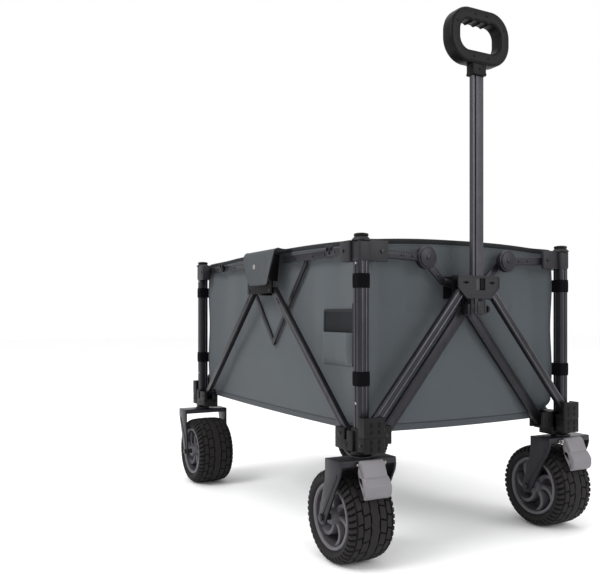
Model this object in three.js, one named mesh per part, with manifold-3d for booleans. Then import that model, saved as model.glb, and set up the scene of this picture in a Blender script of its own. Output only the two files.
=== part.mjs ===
// Folding wagon with a pull handle.
// Millimetres, +Z up, +X towards the pull handle, +Y to the left; the origin is on the ground under
// the middle of the four corner posts. Every mesh is one closed solid.
import * as THREE from "three";
import { mergeVertices } from "three/addons/utils/BufferGeometryUtils.js";
import Module from "manifold-3d";

const wasm = await Module();
wasm.setup();

// ---- driving dimensions ----
const POST_X = 427; // post centres, from the middle of the wagon
const POST_Y = 271;
const POST = 24; // side of the square post
const POST_FACE = { chamfer: 4, groove: 3, depth: 1.5 }; // corners and the groove down each face
const POST_Z = [229, 628];
const CAP_TOP = 643;
const CASTING_Z = [589, 630]; // the corner casting at the top of each post
const COLLAR = { x: 13.5, y: 16 }; // half-widths of a casting's collar round its post
const CAP_R = 14;
const FOOT_Z = [215, 268]; // the casting at the foot of each post

const WHEEL_R = 92.5;
const WHEEL_W = 102;
const RIM_R = 65.5;
const AXLE_R = 6;
const FRONT_AXLE_X = POST_X - 41; // the front wheels trail behind their swivels
const REAR_AXLE_X = POST_X - 29.5;
const FORK_LEG_Y = [59, 64]; // inner and outer face of a fork leg, from the post
const FORK_TOP = [198, 211];

// Where each flat layer of the end mechanism lies, as distances from the middle of the wagon along X.
const COVER_X = [455.5, 459];
const STRUT_X = [441, 454.5];
const EARS_X = [434.5, 440];
const ARM_X = [426, 433];
const RAIL_X = [415, 425];
const BRACE_X = { r: [419, 429], l: [404, 414] };
const LINK_X = { r: [409.5, 414], l: [404, 408.5] };
const HUB_BACK_X = [396, 403];

// The same for the sides, along Y.
const SIDE_PLATE_Y = [283, 288];
const SIDE_STRUT_Y = [267, 281];
const SIDE_ARM_Y = [266.2, 290];
const SIDE_RAIL_Y = [260.5, 265.5];
const SIDE_INNER_Y = [255, 260];
const SIDE_LINK_Y = { f: [248.5, 253], r: [243, 247.5] };

// Pivots of the end mechanism: distance from the middle of the wagon along Y, then height.
const STRUT_FOOT = [258, 275];
const STRUT_TOP = [45, 530];
const BRACE_FOOT = [218, 250];
const BRACE_TOP = [8.4, 501];
const RAIL_PIVOT = [226, 607];
const KNUCKLE = [110, 602];
const LINK_BEND = [60, 556];
const LINK_END = [27.3, 546];

// Pivots of the side mechanism: distance from the middle along X, then height.
const SIDE_FOOT = [380, 256];
const SIDE_TOP = [58, 544];
const SIDE_RAIL_PIVOT = [395, 615];
const SIDE_KNUCKLE = [295, 615];
const SIDE_RAIL_END = [75, 615];
const SIDE_LINK_TOP = [170, 602];
const SIDE_LINK_PIVOT = [90, 515];
const SIDE_LINK_LOW = [4, 417];

// The foot casting's parts as [x, y, z] ranges, apart from the post.
const FOOT = {
  frontSocket: [[440, 465], [241, 288], [222, 262]],
  frontWall: [[456, 465], [241, 288], [260, 290]],
  frontCheek: [[440, 465], [283, 288], [260, 290]],
  sideSocket: [[362, 414], [254, 291], [222, 243]],
  sideSkirt: [[413, 427], [284, 291], [222, 262]],
  sideCheekOut: [[362, 396], [282, 291], [240, 264]],
  sideCheekIn: [[362, 396], [254, 266], [240, 264]],
  braceLugOut: [[430.5, 436], [205, 256], [232, 268]],
  braceLugIn: [[396, 403], [205, 256], [232, 268]],
  braceBridge: [[396, 436], [236, 256], [215, 268]],
};
const FOOT_COLLAR = { x: 13.5, in: 16, out: 14 }; // from the post's middle
const POST_SOCKET = { half: 12.3, floor: 228.7 };

// The corner casting's arms, to the end rail and to the side rail.
const CASTING_ARM = { root: [238, 271], end: [211, 240], sideX: [378, 427] };

// The hubs, as half-widths along Y and heights.
const HUB_BACK = { y: 45, z: [519, 566] };
const HUB_CORE = { x: [402, 435], y: 11, z: [519, 533] };
const HUB_LUG = { x: [439, 453], y: [20.5, 25], z: [486, 508] };
const HUB_BLOCK = { x: [439, 456], y: 20, z: [522, 565] };
const KNOB = { r: 8, y: [24.5, 34] };
const SIDE_CORE = { x: 9, y: [255, 284], z: [533, 559] };

// The pull handle's foot: its cheeks, tongue and back strap, and the window in its cover.
const BASE_WINDOW = { y: [-8, 16], z: [536, 561] };
const BASE_CHEEK = { x: [441, 456.5], y: [15.6, 19.4], z: [486, 566] };
const BASE_TONGUE = { y: 12.5, z: [486, 520] };
const BASE_STRAP = { x: [441, 442.8], y: 16, z: [532, 564] };

const STRUT_HALF = 9.5;
const BRACE_HALF = 12;
const RAIL_HALF = 9;
const LINK_HALF = 8;
const SIDE_HALF = 8.5;
const THIN_HALF = 6;
const KNUCKLE_R = 23.5;

const TUB = { x: 392, y: 237, z: [252, 637], wall: 5 };
const MAT = { x: 384, y: 229, z: [259, 271] };

const HANDLE_PIVOT = [447, 497]; // x and height of the pin that the handle tips on
const POLE = { y: 15, x: [443.5, 455], z: [507, 980.6], groove: [-10, -6] };
const GRIP = { x: 449, depth: 30, y: 79, z: [1003, 1116], ring: 26, corner: 50, collar: 17, collarZ: 981 };
const PEDAL_TIP_X = 490;
const PEDAL_HALF_Y = 29;

// ---- solids ----
function solidOf(geometry) {
  const g = geometry.clone();
  g.deleteAttribute("normal");
  g.deleteAttribute("uv");
  const m = mergeVertices(g, 1e-4);
  return new wasm.Manifold(
    new wasm.Mesh({
      numProp: 3,
      vertProperties: new Float32Array(m.attributes.position.array),
      triVerts: new Uint32Array(m.index.array),
    }),
  );
}

function geometryOf(solid) {
  const m = solid.getMesh();
  const g = new THREE.BufferGeometry();
  g.setAttribute("position", new THREE.BufferAttribute(new Float32Array(m.vertProperties), 3));
  g.setIndex(new THREE.BufferAttribute(new Uint32Array(m.triVerts), 1));
  g.computeVertexNormals();
  return g;
}

// An outline drawn in the plane across an axis, pushed from lo to hi along it. Across x the outline is
// (y, z), across y it is (z, x) and across z it is (x, y), so each frame stays right-handed.
const FRAMES = { x: ["y", "z", "x"], y: ["z", "x", "y"], z: ["x", "y", "z"] };
const UNIT = {
  x: new THREE.Vector3(1, 0, 0),
  y: new THREE.Vector3(0, 1, 0),
  z: new THREE.Vector3(0, 0, 1),
};

function push(shape, axis, ends, segments = 8) {
  const [lo, hi] = [Math.min(...ends), Math.max(...ends)];
  const g = new THREE.ExtrudeGeometry(shape, {
    depth: hi - lo,
    bevelEnabled: false,
    curveSegments: segments,
  });
  g.translate(0, 0, lo);
  g.applyMatrix4(new THREE.Matrix4().makeBasis(...FRAMES[axis].map((a) => UNIT[a])));
  return solidOf(g);
}

function outline(points) {
  return new THREE.Shape(points.map(([a, b]) => new THREE.Vector2(a, b)));
}

function box(x, y, z) {
  const g = new THREE.BoxGeometry(
    Math.abs(x[1] - x[0]),
    Math.abs(y[1] - y[0]),
    Math.abs(z[1] - z[0]),
  );
  g.translate((x[0] + x[1]) / 2, (y[0] + y[1]) / 2, (z[0] + z[1]) / 2);
  return solidOf(g);
}

function rod(axis, a, b, radius, ends, segments = 16) {
  const shape = new THREE.Shape();
  shape.absarc(a, b, radius, 0, Math.PI * 2);
  return push(shape, axis, ends, segments);
}

// A flat bar with round ends from p to q.
function barShape(p, q, half) {
  const angle = Math.atan2(q[1] - p[1], q[0] - p[0]);
  const shape = new THREE.Shape();
  shape.absarc(p[0], p[1], half, angle + Math.PI / 2, angle + (Math.PI * 3) / 2);
  shape.absarc(q[0], q[1], half, angle - Math.PI / 2, angle + Math.PI / 2);
  return shape;
}

// s holds the corner's signs: s.x is 1 at the handle end and -1 at the back, s.y is -1 on the right.
const alongX = (s, ends) => ends.map((v) => v * s.x);
const alongY = (s, ends) => ends.map((v) => v * s.y);
const boxAt = (s, x, y, z) => box(alongX(s, x), alongY(s, y), z);
const barX = (s, p, q, half, ends) =>
  push(barShape([p[0] * s.y, p[1]], [q[0] * s.y, q[1]], half), "x", alongX(s, ends), 5);
const barY = (s, p, q, half, ends) =>
  push(barShape([p[1], p[0] * s.x], [q[1], q[0] * s.x], half), "y", alongY(s, ends), 5);
const plateX = (s, points, ends) =>
  push(outline(points.map(([y, z]) => [y * s.y, z])), "x", alongX(s, ends));
const plateY = (s, points, ends) =>
  push(outline(points.map(([x, z]) => [z, x * s.x])), "y", alongY(s, ends));

// ---- corner post: a grooved square tube with the corner casting and cap on top ----
function postSection() {
  const half = POST / 2;
  const { chamfer, groove, depth } = POST_FACE;
  const quarter = [
    [half, -half + chamfer],
    [half, -groove],
    [half - depth, -groove],
    [half - depth, groove],
    [half, groove],
    [half, half - chamfer],
  ];
  const points = [];
  for (let turn = 0; turn < 4; turn++) {
    const angle = (turn * Math.PI) / 2;
    const [c, d] = [Math.round(Math.cos(angle)), Math.round(Math.sin(angle))];
    for (const [a, b] of quarter) points.push([a * c - b * d, a * d + b * c]);
  }
  return points;
}

function cornerPost(s) {
  const section = postSection().map(([x, y]) => [x + POST_X * s.x, y + POST_Y * s.y]);
  const collarX = [POST_X - COLLAR.x, POST_X + COLLAR.x];
  const collarY = [POST_Y - COLLAR.y, POST_Y + COLLAR.y];
  return push(outline(section), "z", POST_Z)
    .add(boxAt(s, collarX, collarY, CASTING_Z))
    .add(rod("z", POST_X * s.x, POST_Y * s.y, CAP_R, [CASTING_Z[1] - 1, CAP_TOP], 16))
    .add(boxAt(s, [ARM_X[0] - 13, ARM_X[1]], CASTING_ARM.root, CASTING_Z))
    .add(boxAt(s, ARM_X, CASTING_ARM.end, CASTING_Z))
    .add(boxAt(s, CASTING_ARM.sideX, SIDE_ARM_Y, CASTING_Z));
}

// ---- foot casting: a collar on the post, an open channel for the strut, arms for the brace ----
function footCasting(s) {
  const { x, in: inner, out } = FOOT_COLLAR;
  const { half, floor } = POST_SOCKET;
  const socket = boxAt(
    s,
    [POST_X - half, POST_X + half],
    [POST_Y - half, POST_Y + half],
    [floor, FOOT_Z[1] + 1],
  );
  const collar = boxAt(s, [POST_X - x, POST_X + x], [POST_Y - inner, POST_Y + out], FOOT_Z);
  return Object.values(FOOT).reduce(
    (solid, ranges) => solid.add(boxAt(s, ...ranges)),
    collar.subtract(socket),
  );
}

// ---- fork: a top plate and two slanting legs, with the axle between them ----
function fork(s, axleX) {
  const lean = POST_X - axleX;
  const leg = [
    [POST_X + 27, FORK_TOP[1]],
    [POST_X + 27, FORK_TOP[0] - 10],
    [POST_X - lean + 14, WHEEL_R - 6],
    [POST_X - lean + 6, WHEEL_R - 14],
    [POST_X - lean - 6, WHEEL_R - 14],
    [POST_X - lean - 14, WHEEL_R - 4],
    [POST_X - 29, FORK_TOP[0] - 22],
    [POST_X - 29, FORK_TOP[1]],
  ];
  const [near, far] = FORK_LEG_Y;
  const plate = boxAt(s, [POST_X - 27, POST_X + 27], [POST_Y - far, POST_Y + far], FORK_TOP);
  const legs = [-1, 1].map((side) =>
    plateY(s, leg, [POST_Y + side * near, POST_Y + side * far]),
  );
  const axle = rod(
    "y",
    WHEEL_R,
    axleX * s.x,
    AXLE_R,
    alongY(s, [POST_Y - far - 2, POST_Y + far + 2]),
    12,
  );
  return plate.add(legs[0]).add(legs[1]).add(axle);
}

function swivelFork(s) {
  const race = rod("z", POST_X * s.x, POST_Y * s.y, 22, [FORK_TOP[1] - 1, FOOT_Z[0] - 0.4], 20);
  return fork(s, FRONT_AXLE_X).add(race);
}

function rearFoot(s) {
  const [low, high] = [FORK_TOP[1] - 1, FOOT_Z[0] + 1];
  const neck = boxAt(s, [POST_X - 13, POST_X + 13], [POST_Y - 16, POST_Y + 14], [low, high]);
  return footCasting(s).add(neck).add(fork(s, REAR_AXLE_X));
}

// ---- wheel: a tyre and a spoked rim, both turned about the axle ----
function turned(points, segments, s, axleX) {
  const g = new THREE.LatheGeometry(
    [...points, points[0]].map(([r, w]) => new THREE.Vector2(r, w)),
    segments,
  );
  g.translate(axleX * s.x, POST_Y * s.y, WHEEL_R);
  return solidOf(g);
}

function tyre(s, axleX) {
  const half = WHEEL_W / 2;
  const [r, inner] = [WHEEL_R, RIM_R + 0.5];
  const profile = [
    [inner, -half + 6],
    [inner + 8, -half],
    [r - 14, -half],
    [r - 4, -half + 9],
    [r, -half + 24],
    [r, half - 24],
    [r - 4, half - 9],
    [r - 14, half],
    [inner + 8, half],
    [inner, half - 6],
  ];
  return turned(profile, 40, s, axleX);
}

function rim(s, axleX) {
  const half = WHEEL_W / 2 - 7;
  const ring = turned(
    [
      [RIM_R - 6, -half],
      [RIM_R, -half],
      [RIM_R, half],
      [RIM_R - 6, half],
    ],
    40,
    s,
    axleX,
  );
  const core = turned(
    [
      [AXLE_R + 1, -half - 3],
      [17, -half - 3],
      [17, half + 3],
      [AXLE_R + 1, half + 3],
    ],
    20,
    s,
    axleX,
  );
  let wheel = ring.add(core);
  const spokes = 6;
  for (let i = 0; i < spokes; i++) {
    const g = new THREE.BoxGeometry(RIM_R - 19, 2 * half - 8, 11);
    g.translate((RIM_R - 19) / 2 + 15, 0, 0);
    g.rotateY((i / spokes) * Math.PI * 2);
    g.translate(axleX * s.x, POST_Y * s.y, WHEEL_R);
    wheel = wheel.add(solidOf(g));
  }
  return wheel;
}

// ---- brake pedal: a stepped foot plate hinged on the front edge of the fork ----
function brakePedal(s) {
  const tip = PEDAL_TIP_X;
  const side = [
    [457.5, 211],
    [463, 211],
    [479, 178],
    [tip, 166],
    [tip, 146],
    [482, 136],
    [476, 138],
    [481, 150],
    [480, 158],
    [468, 168],
    [455, 200],
    [455, 207],
  ];
  return plateY(s, side, [POST_Y - PEDAL_HALF_Y, POST_Y + PEDAL_HALF_Y]);
}

// ---- end mechanism ----
const endStrut = (s) => barX(s, STRUT_FOOT, STRUT_TOP, STRUT_HALF, STRUT_X);
const endBrace = (s, side) => barX(s, BRACE_FOOT, BRACE_TOP, BRACE_HALF, BRACE_X[side]);

function endRail(s) {
  const disc = rod("x", KNUCKLE[0] * s.y, KNUCKLE[1], KNUCKLE_R, alongX(s, [415, 431]), 24);
  return barX(s, RAIL_PIVOT, KNUCKLE, RAIL_HALF, RAIL_X).add(disc);
}

function endLink(s, side) {
  const upper = barX(s, KNUCKLE, LINK_BEND, LINK_HALF, LINK_X[side]);
  return upper.add(barX(s, LINK_BEND, LINK_END, LINK_HALF, LINK_X[side]));
}

const HALF_EARS = [
  [0, 567],
  [54, 567],
  [55, 556],
  [54, 524],
  [50, 518],
  [31, 518],
  [27, 485],
  [0, 485],
];
const EARS_GAP = { y: 20.2, z: [484, 512] }; // the pull handle's foot swings through it
const bothHalves = (points) => [
  ...points,
  ...points
    .filter(([a]) => a > 0)
    .map(([a, b]) => [-a, b])
    .reverse(),
];
const COVER = bothHalves([
  [0, 566],
  [56, 566],
  [56, 541],
  [33, 519],
  [0, 519],
]);

function hubBody(s) {
  return plateX(s, bothHalves(HALF_EARS), EARS_X)
    .add(boxAt(s, HUB_BACK_X, [-HUB_BACK.y, HUB_BACK.y], HUB_BACK.z))
    .add(boxAt(s, HUB_CORE.x, [-HUB_CORE.y, HUB_CORE.y], HUB_CORE.z));
}

function frontHub(s) {
  const lugs = [-1, 1].map((side) =>
    boxAt(s, HUB_LUG.x, HUB_LUG.y.map((v) => side * v), HUB_LUG.z),
  );
  const knob = rod("y", HANDLE_PIVOT[1], HANDLE_PIVOT[0], KNOB.r, KNOB.y, 16);
  const gap = boxAt(s, [EARS_X[0] - 1, EARS_X[1] + 1], [-EARS_GAP.y, EARS_GAP.y], EARS_GAP.z);
  return hubBody(s).subtract(gap).add(lugs[0]).add(lugs[1]).add(knob);
}

function rearHub(s) {
  return hubBody(s)
    .add(boxAt(s, HUB_BLOCK.x, [-HUB_BLOCK.y, HUB_BLOCK.y], HUB_BLOCK.z))
    .add(plateX(s, COVER, COVER_X));
}

// ---- side mechanism ----
const sideStrut = (s) => barY(s, SIDE_FOOT, SIDE_TOP, SIDE_HALF, SIDE_STRUT_Y);
const sideRail = (s) => barY(s, SIDE_RAIL_PIVOT, SIDE_KNUCKLE, SIDE_HALF, SIDE_RAIL_Y);
const sideArm = (s) => barY(s, SIDE_KNUCKLE, SIDE_RAIL_END, SIDE_HALF, SIDE_INNER_Y);

function sideLink(s, end) {
  const ends = SIDE_LINK_Y[end];
  const upper = barY(s, SIDE_LINK_TOP, SIDE_LINK_PIVOT, THIN_HALF, ends);
  return upper.add(barY(s, SIDE_LINK_PIVOT, SIDE_LINK_LOW, THIN_HALF, ends));
}

function sideHub(s) {
  const plate = bothHalves([
    [0, 566],
    [60, 566],
    [72, 552],
    [72, 538],
    [62, 531],
    [0, 531],
  ]);
  const core = boxAt(s, [-SIDE_CORE.x, SIDE_CORE.x], SIDE_CORE.y, SIDE_CORE.z);
  return plateY(s, plate, SIDE_PLATE_Y).add(core);
}

// ---- fabric tub and its floor mat ----
function tub() {
  const { x, y, z, wall } = TUB;
  return box([-x, x], [-y, y], z).subtract(
    box([-x + wall, x - wall], [-y + wall, y - wall], [z[0] + wall, z[1] + 1]),
  );
}

const floorMat = () => box([-MAT.x, MAT.x], [-MAT.y, MAT.y], MAT.z);

// ---- pull handle ----
const AHEAD = { x: 1, y: 1 };

function handleBase() {
  const window = box([COVER_X[0] - 1, COVER_X[1] + 1], BASE_WINDOW.y, BASE_WINDOW.z);
  const cheeks = [-1, 1].map((side) =>
    box(BASE_CHEEK.x, BASE_CHEEK.y.map((v) => side * v), BASE_CHEEK.z),
  );
  return plateX(AHEAD, COVER, COVER_X)
    .subtract(window)
    .add(cheeks[0])
    .add(cheeks[1])
    .add(box(COVER_X, [-BASE_TONGUE.y, BASE_TONGUE.y], BASE_TONGUE.z))
    .add(box(BASE_STRAP.x, [-BASE_STRAP.y, BASE_STRAP.y], BASE_STRAP.z));
}

function pole() {
  const { x, y, z, groove } = POLE;
  const front = x[1];
  const section = [
    [x[0], -y],
    [front - 2, -y],
    [front, -y + 2],
    [front, groove[0]],
    [front - 2, groove[0]],
    [front - 2, groove[1]],
    [front, groove[1]],
    [front, y - 2],
    [front - 2, y],
    [x[0], y],
  ];
  return push(outline(section), "z", z);
}

function roundedLoop(halfY, z, corner) {
  const [low, high] = z;
  const loop = new THREE.Shape();
  loop.absarc(halfY - corner, low + corner, corner, -Math.PI / 2, 0);
  loop.absarc(halfY - corner, high - corner, corner, 0, Math.PI / 2);
  loop.absarc(-halfY + corner, high - corner, corner, Math.PI / 2, Math.PI);
  loop.absarc(-halfY + corner, low + corner, corner, Math.PI, (Math.PI * 3) / 2);
  return loop;
}

function grip() {
  const { x, depth, y, z, ring, corner, collar, collarZ } = GRIP;
  const ends = [x - depth / 2, x + depth / 2];
  const outer = push(roundedLoop(y, z, corner), "x", ends, 9);
  const inner = push(
    roundedLoop(y - ring, [z[0] + ring, z[1] - ring], corner - ring),
    "x",
    [ends[0] - 1, ends[1] + 1],
    8,
  );
  return outer
    .subtract(inner)
    .add(box([x - 13, x + 13], [-collar, collar], [collarZ, z[0] + ring / 2]));
}

// ---- materials ----
const finish = (color, roughness, metalness) => ({ color, roughness, metalness });
const TUBE = finish(0x3a3a3d, 0.45, 0.6);
const CASTING = finish(0x4b4b4e, 0.6, 0);
const STEEL = finish(0x35353a, 0.5, 0.6);
const RUBBER = finish(0x2e2c2c, 0.9, 0);
const RIM = finish(0x6a686b, 0.6, 0);
const PEDAL = finish(0x8f8d90, 0.6, 0);
const FABRIC = finish(0x5f6468, 0.95, 0);
const BLACK = finish(0x1c1c1e, 0.7, 0);

// ---- the wagon ----
const wagon = new THREE.Group();

function add(name, solid, look) {
  const mesh = new THREE.Mesh(geometryOf(solid), new THREE.MeshStandardMaterial(look));
  mesh.name = name;
  wagon.add(mesh);
}

for (const end of ["f", "r"]) {
  for (const side of ["r", "l"]) {
    const at = `${end}${side}`;
    const s = { x: end === "f" ? 1 : -1, y: side === "r" ? -1 : 1 };
    const front = end === "f";
    const axleX = front ? FRONT_AXLE_X : REAR_AXLE_X;
    add(`corner_post_${at}`, cornerPost(s), TUBE);
    if (front) {
      add(`foot_casting_${at}`, footCasting(s), CASTING);
      add(`swivel_fork_${at}`, swivelFork(s), STEEL);
      add(`brake_pedal_${at}`, brakePedal(s), PEDAL);
      add(`end_brace_${at}`, endBrace(s, side), TUBE);
    } else {
      add(`rear_foot_and_fork_${at}`, rearFoot(s), STEEL);
    }
    add(`tyre_${at}`, tyre(s, axleX), RUBBER);
    add(`rim_${at}`, rim(s, axleX), RIM);
    add(`end_strut_${at}`, endStrut(s), TUBE);
    add(`end_rail_${at}`, endRail(s), STEEL);
    add(`end_link_${at}`, endLink(s, side), STEEL);
    add(`side_strut_${at}`, sideStrut(s), TUBE);
    add(`side_rail_${at}`, sideRail(s), STEEL);
    add(`side_arm_${at}`, sideArm(s), STEEL);
    add(`side_link_${at}`, sideLink(s, end), STEEL);
  }
}
add("front_hub", frontHub({ x: 1, y: 1 }), CASTING);
add("rear_hub", rearHub({ x: -1, y: 1 }), CASTING);
add("side_hub_r", sideHub({ x: 1, y: -1 }), CASTING);
add("side_hub_l", sideHub({ x: 1, y: 1 }), CASTING);
add("fabric_tub", tub(), FABRIC);
add("floor_mat", floorMat(), FABRIC);
add("handle_base", handleBase(), CASTING);
add("handle_pole", pole(), TUBE);
add("handle_grip", grip(), BLACK);

export default wagon;
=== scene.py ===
"""Looks of the folding wagon with a pull handle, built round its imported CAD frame. Metres, +Z up."""

import math

import bmesh
import bpy
import numpy as np
from mathutils import Matrix, Vector, noise


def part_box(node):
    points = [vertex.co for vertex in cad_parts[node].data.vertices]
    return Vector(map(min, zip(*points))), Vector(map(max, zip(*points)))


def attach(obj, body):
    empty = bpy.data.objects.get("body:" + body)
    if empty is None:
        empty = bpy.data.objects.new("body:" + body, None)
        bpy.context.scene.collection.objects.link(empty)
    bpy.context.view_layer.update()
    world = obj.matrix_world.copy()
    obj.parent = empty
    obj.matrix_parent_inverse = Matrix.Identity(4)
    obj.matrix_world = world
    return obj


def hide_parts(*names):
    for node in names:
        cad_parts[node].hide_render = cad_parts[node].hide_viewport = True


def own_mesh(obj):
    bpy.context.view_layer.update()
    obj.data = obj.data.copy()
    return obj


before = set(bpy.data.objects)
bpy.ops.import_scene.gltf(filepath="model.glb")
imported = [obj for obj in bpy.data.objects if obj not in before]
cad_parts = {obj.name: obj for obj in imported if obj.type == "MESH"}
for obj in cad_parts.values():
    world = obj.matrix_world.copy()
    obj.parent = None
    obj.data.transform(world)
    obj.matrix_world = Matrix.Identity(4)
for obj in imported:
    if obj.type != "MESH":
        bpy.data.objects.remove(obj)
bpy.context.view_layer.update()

MM = 0.001
END_SIGN = {"f": 1, "r": -1}
SIDE_SIGN = {"r": -1, "l": 1}
CORNERS = ["fr", "fl", "rr", "rl"]


def signs(corner):
    return END_SIGN[corner[0]], SIDE_SIGN[corner[1]]


# ---------------------------------------------------------------- places taken from the frame
def middle(node):
    low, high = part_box(node)
    return (low + high) / 2


def size(node):
    low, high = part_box(node)
    return high - low


POST_X = 427 * MM
POST_Y = middle("tyre_fl").y
WHEEL_R = size("tyre_fl").z / 2
WHEEL_W = size("tyre_fl").y
RIM_R = size("rim_fl").z / 2
GRIP_X = middle("handle_grip").x
GRIP_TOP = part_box("handle_grip")[1].z
GRIP_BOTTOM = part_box("handle_grip")[0].z
POLE_LOW, POLE_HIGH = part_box("handle_pole")
CASTING_Z = (589 * MM, 630 * MM)
FORK_TOP_Z = 211 * MM
RIM_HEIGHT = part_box("fabric_tub")[1].z
TUB_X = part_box("fabric_tub")[1].x
TUB_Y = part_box("fabric_tub")[1].y
TUB_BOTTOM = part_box("fabric_tub")[0].z


# ---------------------------------------------------------------- materials
def srgb(*values):
    """A display colour of 0 to 255 as linear light."""
    out = []
    for v in values:
        c = v / 255
        out.append(c / 12.92 if c <= 0.04045 else ((c + 0.055) / 1.055) ** 2.4)
    return (*out, 1.0)


class Nodes:
    """Short calls for making and joining shader nodes."""

    def __init__(self, name):
        self.material = bpy.data.materials.new(name)
        self.material.use_nodes = True
        self.tree = self.material.node_tree
        self.shader = self.tree.nodes["Principled BSDF"]
        self.place = self.tree.nodes.new("ShaderNodeTexCoord").outputs["Object"]

    def join(self, source, target):
        self.tree.links.new(source, target)

    def math(self, operation, a, b=0.0):
        node = self.tree.nodes.new("ShaderNodeMath")
        node.operation = operation
        for slot, value in zip(node.inputs, (a, b)):
            if isinstance(value, (int, float)):
                slot.default_value = value
            else:
                self.join(value, slot)
        return node.outputs[0]

    def noise(self, scale, detail=3.0, stretch=(1, 1, 1), roughness=0.5):
        mapping = self.tree.nodes.new("ShaderNodeMapping")
        mapping.inputs["Scale"].default_value = stretch
        self.join(self.place, mapping.inputs["Vector"])
        node = self.tree.nodes.new("ShaderNodeTexNoise")
        node.inputs["Scale"].default_value = scale
        node.inputs["Detail"].default_value = detail
        node.inputs["Roughness"].default_value = roughness
        self.join(mapping.outputs["Vector"], node.inputs["Vector"])
        return node.outputs["Fac"]

    def ramp(self, factor, stops):
        node = self.tree.nodes.new("ShaderNodeValToRGB")
        elements = node.color_ramp.elements
        while len(elements) < len(stops):
            elements.new(0.5)
        for element, (position, color) in zip(elements, stops):
            element.position = position
            element.color = color
        self.join(factor, node.inputs["Fac"])
        return node.outputs["Color"]

    def spread(self, factor, low, high):
        node = self.tree.nodes.new("ShaderNodeMapRange")
        node.inputs["To Min"].default_value = low
        node.inputs["To Max"].default_value = high
        self.join(factor, node.inputs["Value"])
        return node.outputs["Result"]

    def bump(self, height, distance, strength=1.0, under=None):
        node = self.tree.nodes.new("ShaderNodeBump")
        node.inputs["Distance"].default_value = distance
        node.inputs["Strength"].default_value = strength
        self.join(height, node.inputs["Height"])
        if under is not None:
            self.join(under, node.inputs["Normal"])
        return node.outputs["Normal"]

    def axes(self):
        node = self.tree.nodes.new("ShaderNodeSeparateXYZ")
        self.join(self.place, node.inputs[0])
        return node.outputs

    def attribute(self, name):
        node = self.tree.nodes.new("ShaderNodeAttribute")
        node.attribute_name = name
        return node.outputs["Fac"]


def shade(color, factor):
    return (*[min(1.0, c * factor) for c in color[:3]], 1.0)


def woven(name, color, pitch, flat=False, sheen=0.25, contrast=0.14, gloss=0.2):
    """Plain-weave cloth: crossed threads a pitch apart, slow patches of tone and a soft sheen."""
    n = Nodes(name)
    x, y, z = n.axes()
    across = x if flat else n.math("ADD", x, y)
    along = y if flat else z
    turns = 2 * math.pi / pitch
    warp = n.math("SINE", n.math("MULTIPLY", across, turns))
    weft = n.math("SINE", n.math("MULTIPLY", along, turns))
    thread = n.spread(n.math("MULTIPLY", warp, weft), 0.0, 1.0)
    slub = n.noise(900, 2.0, stretch=(1, 1, 0.15))
    patch = n.noise(9, 4.0)
    tone = n.math("ADD", n.math("MULTIPLY", thread, 0.35), n.math("MULTIPLY", patch, 0.65))
    tone = n.math("ADD", n.math("MULTIPLY", slub, 0.25), n.math("MULTIPLY", tone, 0.75))
    stops = [(0.25, shade(color, 1 - contrast)), (0.55, color), (0.8, shade(color, 1 + contrast))]
    n.join(n.ramp(tone, stops), n.shader.inputs["Base Color"])
    n.join(n.spread(patch, 0.72, 0.92), n.shader.inputs["Roughness"])
    creases = n.bump(n.noise(38, 5.0, roughness=0.6), 0.0012, 0.35)
    n.join(n.bump(thread, pitch * 0.3, 0.55, under=creases), n.shader.inputs["Normal"])
    n.shader.inputs["Sheen Weight"].default_value = sheen
    n.shader.inputs["Sheen Roughness"].default_value = 0.45
    n.shader.inputs["Specular IOR Level"].default_value = gloss
    return n.material


def metal_coat(name, color, roughness=0.4, metallic=0.55, gloss=0.25):
    """Powder-coated tube: orange-peel, drawn streaks along its length and dull rubbed spots."""
    n = Nodes(name)
    streak = n.noise(160, 3.0, stretch=(1, 1, 0.05))
    rub = n.noise(22, 6.0, roughness=0.7)
    tone = n.math("ADD", n.math("MULTIPLY", streak, 0.4), n.math("MULTIPLY", rub, 0.6))
    stops = [(0.3, shade(color, 0.82)), (0.52, color), (0.72, shade(color, 1.3))]
    n.join(n.ramp(tone, stops), n.shader.inputs["Base Color"])
    n.join(n.spread(rub, roughness - 0.08, roughness + 0.16), n.shader.inputs["Roughness"])
    peel = n.bump(n.noise(1400, 2.0), 0.00012, 0.5)
    n.join(n.bump(streak, 0.0001, 0.3, under=peel), n.shader.inputs["Normal"])
    n.shader.inputs["Metallic"].default_value = metallic
    n.shader.inputs["Specular IOR Level"].default_value = gloss
    return n.material


def moulded(name, color, roughness=0.55, grain=2200, depth=0.00012, scuff=0.12, gloss=0.2):
    """Moulded plastic: spark-eroded grain, faint flow patches and scuffs."""
    n = Nodes(name)
    patch = n.noise(14, 5.0, roughness=0.65)
    scratch = n.noise(70, 8.0, stretch=(1, 0.2, 1), roughness=0.8)
    tone = n.math("ADD", n.math("MULTIPLY", patch, 0.55), n.math("MULTIPLY", scratch, 0.45))
    stops = [(0.3, shade(color, 1 - scuff)), (0.55, color), (0.75, shade(color, 1 + scuff * 1.6))]
    n.join(n.ramp(tone, stops), n.shader.inputs["Base Color"])
    n.join(n.spread(scratch, roughness - 0.1, roughness + 0.14), n.shader.inputs["Roughness"])
    n.join(n.bump(n.noise(grain, 2.0), depth, 0.6), n.shader.inputs["Normal"])
    n.shader.inputs["Specular IOR Level"].default_value = gloss
    return n.material


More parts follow.
